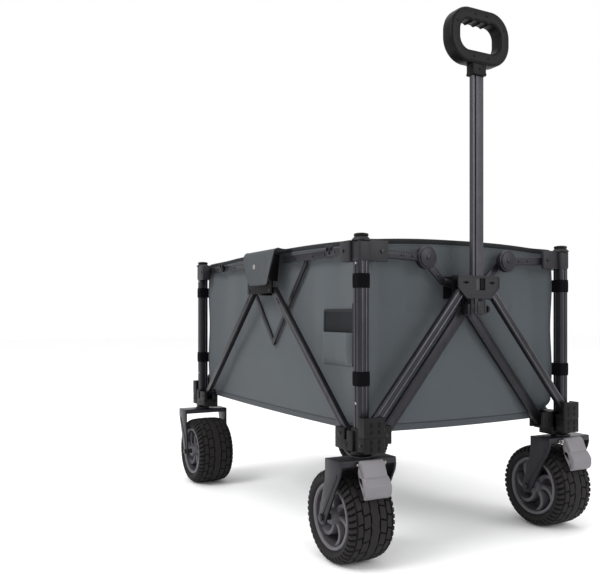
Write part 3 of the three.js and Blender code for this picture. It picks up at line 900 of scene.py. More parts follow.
def flat_link(build, points, axis, lo, hi, half, sides=10):
    """A flat steel link with round ends through two or more pivots."""
    for leg, (p, q) in enumerate(zip(points, points[1:])):
        p, q = Vector(p), Vector(q)
        turn = math.atan2(q.y - p.y, q.x - p.x)
        inset = 0.3 * MM * (leg % 2)
        outline = []
        for centre, start in ((p, turn + math.pi / 2), (q, turn - math.pi / 2)):
            for k in range(sides + 1):
                a = start + math.pi * k / sides
                outline.append((centre.x + half * math.cos(a), centre.y + half * math.sin(a)))
        build.prism(outline, axis, min(lo, hi) + inset, max(lo, hi) - inset, bevel=0.9 * MM)


def rivets(build, spots, axis, out, radius=3 * MM, depth=1.6 * MM):
    for a, b in spots:
        centre = (out, a, b) if axis == "x" else (a, out, b)
        direction = (math.copysign(1, out), 0, 0) if axis == "x" else (0, math.copysign(1, out), 0)
        build.disc(centre, direction, radius, depth, 0.7 * MM, 22)


END_PIVOTS = {
    "strut": ((258, 275), (45, 530)),
    "brace": ((218, 250), (8.4, 501)),
    "rail": ((226, 607), (110, 602)),
    "link": ((110, 602), (60, 556), (27.3, 546)),
}
SIDE_PIVOTS = {
    "strut": ((380, 256), (58, 544)),
    "rail": ((395, 615), (295, 615)),
    "arm": ((295, 615), (75, 615)),
    "link": ((170, 602), (90, 515), (4, 417)),
}
KNUCKLE_R = 23.5 * MM
BRACE_LAYER = {"r": (419, 429), "l": (404, 414)}
LINK_LAYER = {"r": (409.5, 414), "l": (404, 408.5)}
SIDE_LINK_LAYER = {"f": (248.5, 253), "r": (243, 247.5)}


def end_frame():
    for corner in CORNERS:
        sx, sy = signs(corner)

        def spots(kind):
            return [(sy * a * MM, b * MM) for a, b in END_PIVOTS[kind]]

        def layer(pair):
            return sorted(sx * v * MM for v in pair)

        # The strut's beads have the lighter coat: painted edge highlights.
        strut, beads = Build(), Build()
        lo, hi = layer((441, 454))
        fluted_bar(strut, beads, *spots("strut"), "x", lo, hi, 9.5 * MM, sx)
        place(strut, f"end_strut_tube_{corner}", f"end_strut_{corner}", TUBE, "tube", f"end_strut_{corner}")
        place(beads, f"end_strut_highlight_beads_{corner}", f"end_strut_{corner}", EDGE, "tube")
        if corner[0] == "f":
            brace = Build()
            lo, hi = layer(BRACE_LAYER[corner[1]])
            fluted_bar(brace, brace, *spots("brace"), "x", lo, hi, 12 * MM, sx)
            place(brace, f"end_brace_tube_{corner}", f"end_brace_{corner}", TUBE, "tube", f"end_brace_{corner}")

        rail = Build()
        lo, hi = layer((415, 425))
        outer = sx * 425 * MM
        fluted_bar(rail, rail, *spots("rail"), "x", lo, hi, 9 * MM, sx)
        knuckle = spots("rail")[1]
        rail.disc((sx * 415 * MM, *knuckle), (sx, 0, 0), KNUCKLE_R, 13 * MM, 1.5 * MM, 56)
        rail.disc((sx * 427 * MM, *knuckle), (sx, 0, 0), KNUCKLE_R - 3.4 * MM, 4 * MM, 1.6 * MM, 56)
        place(rail, f"end_rail_bar_{corner}", f"end_rail_{corner}", STEEL, "steel", f"end_rail_{corner}")
        pins = Build()
        rivets(pins, [(sy * 172 * MM, 605 * MM), (sy * 145 * MM, 604 * MM)], "x", outer)
        bolt(pins, (sx * 431 * MM, *knuckle), (sx, 0, 0), 5 * MM, 1.6 * MM)
        place(pins, f"end_rail_pins_{corner}", f"end_rail_{corner}", BOLT, "nickel")

        link = Build()
        lo, hi = layer(LINK_LAYER[corner[1]])
        flat_link(link, spots("link"), "x", lo, hi, 8 * MM)
        place(link, f"end_link_bar_{corner}", f"end_link_{corner}", STEEL, "steel", f"end_link_{corner}")
        pins = Build()
        rivets(pins, [(sy * 72 * MM, 567 * MM)], "x", sx * max(LINK_LAYER[corner[1]]) * MM, 3.2 * MM, 1.4 * MM)
        place(pins, f"end_link_pin_{corner}", f"end_link_{corner}", BOLT, "nickel")


def side_frame():
    for corner in CORNERS:
        sx, sy = signs(corner)

        def spots(kind):
            return [(sx * a * MM, b * MM) for a, b in SIDE_PIVOTS[kind]]

        def layer(pair):
            return sorted(sy * v * MM for v in pair)

        # The strut's beads have the lighter coat: painted edge highlights.
        strut, beads = Build(), Build()
        lo, hi = layer((267, 280.5))
        fluted_bar(strut, beads, *spots("strut"), "y", lo, hi, 8.5 * MM, sy)
        place(strut, f"side_strut_tube_{corner}", f"side_strut_{corner}", TUBE, "tube", f"side_strut_{corner}")
        place(beads, f"side_strut_highlight_beads_{corner}", f"side_strut_{corner}", EDGE, "tube")
        pins = Build()
        spot = Vector(spots("strut")[1]).lerp(Vector(spots("strut")[0]), 0.075)
        rivets(pins, [tuple(spot), (sx * 90 * MM, 515 * MM)], "y", sy * 280.8 * MM, 3 * MM, 1.4 * MM)
        place(pins, f"side_strut_pins_{corner}", f"side_strut_{corner}", BOLT, "nickel")

        rail = Build()
        lo, hi = layer((260.5, 265.5))
        flat_link(rail, spots("rail"), "y", lo, hi, 8.5 * MM)
        ear = spots("rail")[1]
        for a in (-1, 1):
            x = ear[0] + a * 7 * MM
            rail.box(
                (x - 2 * MM, min(lo, hi) - 3 * MM, 619 * MM), (x + 2 * MM, max(lo, hi) + 0.3 * MM, 630 * MM),
                0.8 * MM,
            )
        place(rail, f"side_rail_bar_{corner}", f"side_rail_{corner}", STEEL, "steel", f"side_rail_{corner}")
        pins = Build()
        rivets(pins, [(sx * 345 * MM, 615 * MM), (sx * 318 * MM, 615 * MM)], "y", sy * 265.4 * MM, 2.6 * MM, 1.2 * MM)
        bolt(pins, (sx * 295 * MM, sy * 265.4 * MM, 615 * MM), (0, sy, 0), 4 * MM, 1.6 * MM)
        place(pins, f"side_rail_pins_{corner}", f"side_rail_{corner}", BOLT, "nickel")

        arm = Build()
        lo, hi = layer((255, 260))
        flat_link(arm, spots("arm"), "y", lo, hi, 8.5 * MM)
        bead = [(sx * 286 * MM, 621 * MM), (sx * 80 * MM, 621 * MM)]
        flat_link(arm, bead, "y", *layer((259.5, 261)), 1.2 * MM)
        place(arm, f"side_arm_bar_{corner}", f"side_arm_{corner}", STEEL, "steel", f"side_arm_{corner}")
        pins = Build()
        rivets(pins, [(sx * a * MM, 613 * MM) for a in (267, 216, 136)], "y", sy * 259.8 * MM, 2.8 * MM, 1.4 * MM)
        place(pins, f"side_arm_pins_{corner}", f"side_arm_{corner}", BOLT, "nickel")

        link = Build()
        lo, hi = layer(SIDE_LINK_LAYER[corner[0]])
        flat_link(link, spots("link"), "y", lo, hi, 6 * MM)
        place(link, f"side_link_bar_{corner}", f"side_link_{corner}", STEEL, "steel", f"side_link_{corner}")
        pins = Build()
        rivets(pins, [(sx * 100 * MM, 526 * MM)], "y", sy * max(SIDE_LINK_LAYER[corner[0]]) * MM, 2.4 * MM, 1.2 * MM)
        place(pins, f"side_link_pin_{corner}", f"side_link_{corner}", BOLT, "nickel")


# ---------------------------------------------------------------- hubs
def mirrored(points):
    """Half an outline, from the middle outwards and back, with its other half."""
    return points + [(-a, b) for a, b in reversed(points) if a > 0]


COVER = mirrored([(0, 566), (54, 566), (56, 563), (56, 541), (33, 519), (0, 519)])
COVER_RIM = mirrored([(0, 563), (51, 563), (52, 560), (52, 543), (31, 523), (0, 523)])
REAR_EARS = mirrored([(0, 567), (54, 567), (55, 556), (54, 524), (50, 518), (31, 518), (27, 485), (0, 485)])
FRONT_EARS = mirrored(
    [(0, 567), (54, 567), (55, 556), (54, 524), (50, 518), (31, 518), (27, 485), (20.2, 485), (20.2, 512), (0, 512)]
)
PIVOT_Z = 497 * MM  # the pull handle's pin


def scaled(points, sign=1):
    return [(sign * a * MM, b * MM) for a, b in points]


def ring_plate(build, outline, window, axis, lo, hi):
    """A flat plate with a rectangular window: its outline is cut by the window into four closed parts."""
    (a0, b0), (a1, b1) = window
    left, right = Build(), Build()
    for part, keep in ((left, (None, a0)), (right, (a1, None))):
        part.prism(clip(outline, keep[0], keep[1], 0), axis, lo, hi, bevel=0)
        build.keep(part.bm)
    for low, high in ((None, b0), (b1, None)):
        inner = clip(clip(outline, a0, a1, 0), low, high, 1)
        part = Build()
        part.prism(inner, axis, lo, hi, bevel=0)
        build.keep(part.bm)


def clip(points, low, high, k):
    """An outline kept between low and high along its coordinate k."""
    for limit, keep_above in ((low, True), (high, False)):
        if limit is None:
            continue
        out = []
        for i, p in enumerate(points):
            q = points[(i + 1) % len(points)]
            p_in = p[k] >= limit if keep_above else p[k] <= limit
            q_in = q[k] >= limit if keep_above else q[k] <= limit
            if p_in:
                out.append(p)
            if p_in != q_in:
                t = (limit - p[k]) / (q[k] - p[k])
                out.append(tuple(a + (b - a) * t for a, b in zip(p, q)))
        points = out
    return points


def cover_plate(build, sx):
    """The faceted outer plate of an end hub, with a raised border and a recessed field."""
    lo, hi = sorted((sx * 455.5 * MM, sx * 458.2 * MM))
    window = ((-8 * MM, 536 * MM), (16 * MM, 561 * MM))
    if sx < 0:
        build.prism(scaled(COVER), "x", lo, hi, bevel=0.8 * MM)
    else:
        ring_plate(build, scaled(COVER), window, "x", lo, hi)
    face = sorted((sx * 458 * MM, sx * 459 * MM))
    outer, inner = scaled(COVER), scaled(COVER_RIM)
    for i in range(len(outer)):
        j = (i + 1) % len(outer)
        quad = [outer[i], outer[j], inner[j], inner[i]]
        if (Vector(outer[i]) - Vector(outer[j])).length > 0.1 * MM:
            build.prism(quad, "x", *face, bevel=0)


def end_hub(end):
    sx = END_SIGN[end]
    body = "front_hub" if end == "f" else "rear_hub"
    # The ears, back plate and core belong to the same casting as the rest of the hub, coloured near-black: painted
    # shade.
    ears = Build()
    outline = FRONT_EARS if end == "f" else REAR_EARS
    ears.prism(scaled(outline), "x", *sorted((sx * 434.5 * MM, sx * 440 * MM)), bevel=1 * MM)
    xs = sorted((sx * 396 * MM, sx * 403 * MM))
    ears.box((xs[0], -45 * MM, 519 * MM), (xs[1], 45 * MM, 566 * MM), 1.2 * MM)
    xs = sorted((sx * 402 * MM, sx * 435 * MM))
    ears.box((xs[0], -11 * MM, 519 * MM), (xs[1], 11 * MM, 533 * MM), 1 * MM)
    place(ears, f"{body}_ears", body, BLACK_AND_PAINTED_SHADE, "casting", body)
    build = Build()
    if end == "r":
        xs = sorted((sx * 439 * MM, sx * 456 * MM))
        build.box((xs[0], -20 * MM, 522 * MM), (xs[1], 20 * MM, 565 * MM), 1.2 * MM)
        cover_plate(build, sx)
        # Near-black patches in the cover's slots: painted shade in the openings.
        slots = Build()
        for side in (-1, 1):
            slots.box(
                (sx * 459 * MM - 0.3 * MM, side * 35 * MM - 6 * MM, 550.4 * MM),
                (sx * 459 * MM + 0.3 * MM, side * 35 * MM + 6 * MM, 553.6 * MM), 0.25 * MM,
            )
        place(slots, "rear_hub_slots", body, BLACK_AND_PAINTED_SHADE, "black_plastic")
    else:
        for side in (-1, 1):
            low, high = sorted((side * 20.5 * MM, side * 25 * MM))
            build.box((439 * MM, low, 486 * MM), (453 * MM, high, 508 * MM), 1 * MM)
    place(build, f"{body}_body", body, CASTING, "casting", body)
    if end == "f":
        knob = Build()
        profile = [
            (0.3 * MM, 24.5 * MM), (5 * MM, 24.5 * MM), (5 * MM, 26 * MM), (8 * MM, 26.8 * MM),
            (8 * MM, 31 * MM), (6.6 * MM, 33.4 * MM), (3 * MM, 34 * MM), (0.3 * MM, 34 * MM),
        ]
        knob.lathe(profile, (447 * MM, 0, PIVOT_Z), axis="y", sides=36)
        for i in range(12):
            a = 2 * math.pi * i / 12
            spot = Matrix.Translation((447 * MM + 7.7 * MM * math.cos(a), 29 * MM, PIVOT_Z + 7.7 * MM * math.sin(a)))
            knob.box((-0.6 * MM, -2.2 * MM, -0.6 * MM), (0.6 * MM, 2.2 * MM, 0.6 * MM), 0.3 * MM, 1, spot)
        place(knob, "hub_knob", body, GRIP_PLASTIC, "black_plastic")


def side_hub(side):
    """The pivot bracket that the two side struts hang from, behind the flap."""
    sy = SIDE_SIGN[side]
    body = f"side_hub_{side}"
    build = Build()
    lo, hi = sorted((sy * 283 * MM, sy * 288 * MM))
    build.box((-68 * MM, lo, 537 * MM), (68 * MM, hi, 566 * MM), 1.4 * MM, 3)
    lo, hi = sorted((sy * 255 * MM, sy * 284 * MM))
    build.box((-9 * MM, lo, 533 * MM), (9 * MM, hi, 559 * MM), 1.2 * MM)
    place(build, f"side_hub_bracket_{side}", body, BLACK_AND_PAINTED_SHADE, "casting", body)
    pins = Build()
    for x in (-58, 58):
        bolt(pins, (x * MM, sy * 288 * MM, 544 * MM), (0, sy, 0), 3.6 * MM, 1.2 * MM)
        pins.disc((x * MM, sy * 283 * MM, 544 * MM), (0, -sy, 0), 4.4 * MM, 1.6 * MM, 0.3 * MM, 22)
    place(pins, f"side_hub_pins_{side}", body, BOLT, "nickel")


def handle_base():
    build = Build()
    cover_plate(build, 1)
    for side in (-1, 1):
        low, high = sorted((side * 15.6 * MM, side * 19.4 * MM))
        build.box((441.2 * MM, low, 486 * MM), (455.8 * MM, high, 565.5 * MM), 1 * MM)
    build.box((455.7 * MM, -12.5 * MM, 486 * MM), (458.7 * MM, 12.5 * MM, 519.4 * MM), 0.8 * MM)
    build.box((441 * MM, -15.8 * MM, 532 * MM), (442.8 * MM, 15.8 * MM, 564 * MM), 0.5 * MM)
    build.box((457.6 * MM, -23 * MM, 521 * MM), (459.4 * MM, 23 * MM, 525 * MM), 0.6 * MM)
    build.box((457.8 * MM, -6 * MM, 489 * MM), (460.4 * MM, 6 * MM, 512 * MM), 1 * MM)
    place(build, "handle_base_shell", "handle_base", CASTING, "casting", "handle_base")
    # Near-black patches in the slots and the cover's window: painted shade in the openings.
    details = Build()
    for side in (-1, 1):
        y = side * 35 * MM
        details.box((457.8 * MM, y - 7 * MM, 550.2 * MM), (459.2 * MM, y + 7 * MM, 553.4 * MM), 0.4 * MM)
        details.disc((457.8 * MM, y, 551.8 * MM), (1, 0, 0), 3.2 * MM, 1.4 * MM, 0.2 * MM, 20)
    details.box((455.6 * MM, 5 * MM, 536.3 * MM), (456.6 * MM, 15.7 * MM, 560.7 * MM), 0.3 * MM)
    details.box((458.3 * MM, -4 * MM, 513.5 * MM), (459.3 * MM, 8 * MM, 518.5 * MM), 0.3 * MM)
    place(details, "handle_base_slots", "handle_base", BLACK_AND_PAINTED_SHADE, "black_plastic")


# ---------------------------------------------------------------- pull handle
def handle_pole():
    low, high = POLE_LOW, POLE_HIGH
    back, front = low.x, high.x
    near, far = -10 * MM, -6 * MM
    section = [
        (back, low.y + 1.5 * MM), (back + 1.5 * MM, low.y), (front - 2 * MM, low.y),
        (front - 0.6 * MM, low.y + 0.6 * MM), (front, low.y + 2 * MM),
        (front, near - 0.8 * MM), (front - 0.5 * MM, near), (front - 2.4 * MM, near + 0.2 * MM),
        (front - 2.4 * MM, far - 0.2 * MM), (front - 0.5 * MM, far), (front, far + 0.8 * MM),
        (front, high.y - 2 * MM), (front - 0.6 * MM, high.y - 0.6 * MM), (front - 2 * MM, high.y),
        (back + 1.5 * MM, high.y), (back, high.y - 1.5 * MM),
    ]
    build = Build()
    build.prism(section, "z", low.z, high.z, bevel=0)
    place(build, "pole_extrusion", "handle_pole", POLE_COAT, "tube", "handle_pole", sharp=25)


def loop_point(t, half_y, half_z, corner):
    """A place and the outward direction on a rounded rectangle, at t from 0 to 1 by length from its right middle."""
    flat_y, flat_z, arc = half_y - corner, half_z - corner, corner * math.pi / 2
    legs = [flat_z, arc, 2 * flat_y, arc, 2 * flat_z, arc, 2 * flat_y, arc, flat_z]
    run = (t % 1) * sum(legs)
    leg = 0
    while run > legs[leg]:
        run -= legs[leg]
        leg += 1
    if leg % 2:
        quarter = leg // 2
        a = quarter * math.pi / 2 + run / corner
        cy = flat_y if quarter in (0, 3) else -flat_y
        cz = flat_z if quarter in (0, 1) else -flat_z
        out = Vector((math.cos(a), math.sin(a)))
        return Vector((cy, cz)) + out * corner, out
    spots = {
        0: ((half_y, run), (1, 0)), 2: ((flat_y - run, half_z), (0, 1)), 4: ((-half_y, flat_z - run), (-1, 0)),
        6: ((-flat_y + run, -half_z), (0, -1)), 8: ((half_y, -flat_z + run), (1, 0)),
    }
    spot, out = spots[leg]
    return Vector(spot), Vector(out)


def handle_grip():
    """A rounded loop of squared section with four finger hollows under its top bar, on a waisted collar."""
    half_y = size("handle_grip").y / 2
    loop_low = 1003 * MM
    centre_z, half_z = (loop_low + GRIP_TOP) / 2, (GRIP_TOP - loop_low) / 2
    thick, deep, corner, edge = 13 * MM, 15 * MM, 37 * MM, 5.5 * MM
    profile = []
    for turn in range(4):
        for k in range(5):
            a = turn * math.pi / 2 + k * math.pi / 8
            cx = (thick - edge) * (1 if turn in (0, 3) else -1)
            cy = (deep - edge) * (1 if turn in (0, 1) else -1)
            profile.append((cx + edge * math.cos(a), cy + edge * math.sin(a)))
    bm = bmesh.new()
    around = 300
    rings = []
    for i in range(around):
        spot, out = loop_point(i / around, half_y - thick, half_z - thick, corner)
        along = spot.x / (half_y - thick)
        top = max(0.0, out.y) ** 2 * smooth(0, 0.12, 0.62 - abs(along))
        ridge = 4.6 * MM * top * (1 - abs(math.sin(math.pi * spot.x / (21 * MM)))) ** 1.4
        ring = []
        for reach, aside in profile:
            if reach < 0:
                reach -= ridge * (1 - 0.35 * abs(aside) / deep)
            flat = spot + out * reach
            ring.append(bm.verts.new((GRIP_X + aside, flat.x, centre_z + flat.y)))
        rings.append(ring)
    count = len(profile)
    for i in range(around):
        a, b = rings[i], rings[(i + 1) % around]
        for k in range(count):
            m = (k + 1) % count
            bm.faces.new((a[k], a[m], b[m], b[k]))
    bmesh.ops.recalc_face_normals(bm, faces=bm.faces)
    place(Build().keep(bm), "grip_loop", "handle_pole", GRIP_PLASTIC, "black_plastic", "handle_grip", sharp=50)

    collar = Build()
    low = GRIP_BOTTOM
    waist = 17 * MM
    neck = [(-waist, low), (waist, low), (waist, low + 18 * MM)]
    neck += [
        (waist + 22 * MM * (1 - math.cos(a)), low + 18 * MM + 15 * MM * math.sin(a))
        for a in np.linspace(0.2, 1.45, 9)
    ]
    neck += [(-y, z) for y, z in reversed(neck[2:])]
    collar.prism(neck, "x", GRIP_X - 10.5 * MM, GRIP_X + 10.5 * MM, bevel=2.2 * MM, segments=3)
    collar.box(
        (GRIP_X - 11.6 * MM, -17.8 * MM, low + 0.6 * MM), (GRIP_X + 11.6 * MM, 17.8 * MM, low + 6 * MM), 1.2 * MM
    )
    place(collar, "grip_collar", "handle_pole", GRIP_PLASTIC, "black_plastic", "handle_grip")

    screws = Build()
    for z in (12, 27):
        screws.disc((GRIP_X + 10.2 * MM, 0, low + z * MM), (1, 0, 0), 3 * MM, 1 * MM, 0.3 * MM, 24)
    for t in (0.06, 0.21, 0.29, 0.44, 0.7, 0.8):
        spot, _ = loop_point(t, half_y - thick, half_z - thick, corner)
        screws.disc((GRIP_X + deep - 0.3 * MM, spot.x, centre_z + spot.y), (1, 0, 0), 2.6 * MM, 0.7 * MM, 0.2 * MM, 20)
    place(screws, "grip_screws", "handle_pole", BLACK_AND_PAINTED_SHADE, "black_plastic")


# ---------------------------------------------------------------- cloth tub
SIDE_Y = 240.5 * MM  # the side walls' plane
END_X = 394.5 * MM  # the end walls' plane
TUB_LOW = 250 * MM
CLOTH_T = 1.3 * MM
FOLD_X = 0.306  # what is left of the tub's length when the frame is folded
FOLD_Y = 0.175  # what is left of its width


def smooth(low, high, value):
    t = min(1.0, max(0.0, (value - low) / (high - low)))
    return t * t * (3 - 2 * t)


def crease(u, v, seed):
    """Soft waves and pulled folds of a cloth wall, about -1 to 1, from its corners inward."""
    wave = noise.noise(Vector((u * 2.3, v * 1.1, seed)))
    fine = noise.noise(Vector((u * 7.0 + v * 3.0, v * 2.6 - u, seed + 9)))
    pull = noise.noise(Vector(((u * 9 + v * 7), (u - v) * 0.8, seed + 17)))
    return 0.6 * wave + 0.25 * fine + 0.22 * pull


def rim_z(u):
    """The rim stands highest at mid-wall and is drawn down to the castings."""
    return 631 * MM + 10 * MM * (1 - abs(u) ** 2.6)


def hem_z(u):
    return TUB_LOW + 2 * MM - 3.5 * MM * (1 - u * u)


def corner_reach(z):
    """How far the straps draw a corner of the cloth out towards its post: 0 at the foot, most at each strap."""
    sway = 0.93 + 0.07 * math.cos(2 * math.pi * (z - 362 * MM) / (189 * MM))
    return smooth(262 * MM, 292 * MM, z) * sway


def side_point(sy, u, v, seed):
    z = hem_z(u) + (rim_z(u) - hem_z(u)) * v
    reach = corner_reach(z)
    x = u * (END_X + (1.0 + 17 * reach * abs(u) ** 3) * MM)
    clear = 1 - (1 - smooth(0.46, 0.62, abs(u))) * smooth(0.28, 0.42, v) * (1 - smooth(0.93, 1.0, v))
    belly = math.sin(math.pi * v) ** 0.8 * (1 - abs(u) ** 6)
    out = (1.2 + 4.6 * clear) * belly + 1.1 * crease(u, v, seed) * (0.35 + 0.65 * clear) * (1 - abs(u) ** 8)
    drawn = 15 * reach * smooth(0.7, 1.0, abs(u)) ** 1.5
    return Vector((x, sy * (SIDE_Y + (min(out, 1.8 + 5.5 * clear) + drawn) * MM), z))


def end_point(sx, u, v, seed):
    z = hem_z(u) + (rim_z(u) - hem_z(u)) * v
    reach = corner_reach(z)
    y = u * (SIDE_Y + 15 * reach * abs(u) ** 3 * MM)
    clear = smooth(0.15, 0.5, abs(u)) * (1 - smooth(0.55, 0.75, v)) + 0.25
    belly = math.sin(math.pi * v) ** 0.8 * (1 - abs(u) ** 6)
    out = (0.8 + 5.0 * clear) * belly + 0.84 * crease(u, v, seed) * (1 - abs(u) ** 8)
    limit = 1.0 if abs(u) < 0.6 and v > 0.62 else 6.5
    drawn = 18 * reach * smooth(0.82, 1.0, abs(u)) ** 1.2
    return Vector((sx * (END_X + (min(out, limit) + drawn) * MM), y, z))


# name: where a point of the wall lies, its body, its lengthwise axis, and how it would crumple as the frame folds,
# which nothing here uses
WALLS = {
    "wall_right": (lambda u, v: side_point(-1, u, v, 3.1), "corner_fr", (1, 0, 0), (0.4, 0, 0), FOLD_X),
    "wall_left": (lambda u, v: side_point(1, u, v, 12.7), "corner_fl", (1, 0, 0), (0.4, 0, 0), FOLD_X),
    "wall_front": (lambda u, v: end_point(1, u, v, 22.3), "corner_fr", (0, 1, 0), (0, -0.24, 0), FOLD_Y),
    "wall_rear": (lambda u, v: end_point(-1, u, v, 31.9), "corner_rr", (0, 1, 0), (0, -0.24, 0), FOLD_Y),
}


def crumple(obj):
    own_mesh(obj)


def cloth_thickness(obj, thickness=CLOTH_T):
    solid = obj.modifiers.new("thickness", "SOLIDIFY")
    solid.thickness = thickness
    solid.offset = 0
    apply_modifiers(obj)
    bm = bmesh.new()
    bm.from_mesh(obj.data)
    bmesh.ops.recalc_face_normals(bm, faces=bm.faces)
    bm.to_mesh(obj.data)
    bm.free()
    return obj


def seam_line(points, section, normal, name, body, material, slot):
    build = Build()
    build.sweep(points, section, up=normal)
    return place(build, name, body, material, slot, sharp=60)


def walls():
    first = True
    for wall, (spot, body, axis, _, _) in WALLS.items():
        wide, tall = (150, 76) if axis[0] else (96, 76)
        rows = [[spot(2 * i / wide - 1, j / tall) for i in range(wide + 1)] for j in range(tall + 1)]
        obj = cloth_thickness(grid_mesh(wall, rows))
        finish_piece(obj, body, CLOTH, "fabric_tub" if first else (), sharp=60)
        crumple(obj)
        first = False
        length = 2 * (END_X if axis[0] else SIDE_Y)
        trims = []
        up = (0, 1, 0) if axis[0] else (1, 0, 0)
        across = [2 * i / wide - 1 for i in range(wide + 1)]
        tape = [(a * 1.25, b) for a, b in circle(4.6 * MM, 14, 0.42)]
        rim = [spot(u, 1.0) + Vector((0, 0, -2.5 * MM)) for u in across]
        trims.append(seam_line(rim, tape, up, f"{wall}_rim_binding", body, BINDING, "binding"))
        hem = [spot(u, 0.0) + Vector((0, 0, 5.4 * MM)) for u in across]
        band = circle(6.8 * MM, 24, 0.36)
        trims.append(seam_line(hem, band, up, f"{wall}_hem_band", body, SEWN_EDGE, "fabric"))
        seam = [spot(u, 0.034) for u in across]
        groove = circle(1.3 * MM, 10, 0.8)
        trims.append(seam_line(seam, groove, up, f"{wall}_hem_seam", body, THREAD, "binding"))
        stitch = Build()
        for height in (0.972, 0.03):
            for i in range(0, int(length / (4.6 * MM))):
                u = (i + 0.5) * 4.6 * MM / length * 2 - 1
                a, b = spot(u - 0.7 * 2.6 * MM / length, height), spot(u + 0.7 * 2.6 * MM / length, height)
                out = Vector((0, math.copysign(1, a.y), 0)) if axis[0] else Vector((math.copysign(1, a.x), 0, 0))
                middle_spot = (a + b) / 2 + out * (CLOTH_T / 2)
                ahead = (b - a).normalized()
                turn = Matrix((ahead, out, ahead.cross(out))).transposed().to_4x4()
                stitch.box(
                    (-1.5 * MM, -0.2 * MM, -0.35 * MM), (1.5 * MM, 0.3 * MM, 0.35 * MM), 0.15 * MM, 1,
                    Matrix.Translation(middle_spot) @ turn,
                )
        trims.append(place(stitch, f"{wall}_stitching", body, THREAD, "binding"))
        for trim in trims:
            crumple(trim)
    for corner in CORNERS:
        sx, sy = signs(corner)
        path = [
            (side_point(sy, sx * 1.0, v, 0) + end_point(sx, sy * 1.0, v, 0)) / 2
            for v in np.linspace(0, 1, 60)
        ]
        seam_line(path, circle(2.8 * MM, 12), (0, 1, 0), f"corner_piping_{corner}", f"corner_{corner}", SEWN_EDGE, "fabric")


def pocket():
    """A pouch under a window of mesh, sewn on the right wall beside the front post."""
    spot, body = WALLS["wall_right"][0], WALLS["wall_right"][1]
    left, right, top, split, low = 246 * MM, 363 * MM, 494 * MM, 448 * MM, 381 * MM

    def wall_at(x, z):
        u = x / (END_X + 1.0 * MM)
        return spot(u, (z - hem_z(u)) / (rim_z(u) - hem_z(u)))

    def patch(name, material, slot, lift, z0, z1, flare=0.0, thick=1.1 * MM):
        wide, tall = 48, 40
        rows = []
        for j in range(tall + 1):
            t = j / tall
            z = z0 + (z1 - z0) * t
            spread = flare * (1 - t) ** 1.6
            row = []
            for i in range(wide + 1):
                s = i / wide
                x = left - spread + (right - left + spread) * s
                base = wall_at(x, z)
                row.append(Vector((base.x, base.y - lift(s, t), base.z)))
            rows.append(row)
        obj = cloth_thickness(grid_mesh(name, rows), thick)
        finish_piece(obj, body, material, sharp=60)
        crumple(obj)
        return obj

    def pouch_lift(s, t):
        edge = min(1.0, 9 * s * 1.0, 9 * (1 - s)) ** 0.6
        foot = min(1.0, 7 * t) ** 0.5
        gather = 0.45 * MM * math.sin(s * 19 + 2) * (1 - t) ** 2 * edge
        sag = (3.0 + 8.0 * math.sin(math.pi * min(1.0, 0.25 + 0.75 * (1 - t) * 0.85))) * MM
        return 1.3 * MM + edge * foot * (sag + gather)

    mesh = patch("pocket_mesh", MESH_PANEL, "mesh", lambda s, t: 1.6 * MM, split - 8 * MM, top)
    pouch = patch("pocket_pouch", CLOTH, "fabric", pouch_lift, low, split, flare=9 * MM)
    hem = patch(
        "pocket_hem", CLOTH, "fabric", lambda s, t: pouch_lift(s, 1.0) + 1.3 * MM, split - 9 * MM, split + 1 * MM
    )
    edges = []
    lines = {
        "top": [(left + (right - left) * k / 30, top) for k in range(31)],
        "front": [(right, low + (top + 14 * MM - low) * k / 30) for k in range(31)],
        "back": [(left, split + (top - split) * k / 12) for k in range(13)],
    }
    for side, line in lines.items():
        path = [wall_at(x, z) - Vector((0, 2.6 * MM, 0)) for x, z in line]
        tape = [(a, b * 0.3) for a, b in circle(3.4 * MM, 12)]
        edges.append(seam_line(path, tape, (0, 1, 0), f"pocket_{side}_tape", body, BINDING, "binding"))
        crumple(edges[-1])


def flap_outline(t):
    """Half-width of a flap at t from 0 at the rim to 1 at its lower edge."""
    if t < 0.42:
        return 84 * MM + 2 * MM * t
    s = (t - 0.42) / 0.58
    return 85 * MM - 36 * MM * s ** 1.15 - 7 * MM * max(0.0, (s - 0.93) / 0.07) ** 2


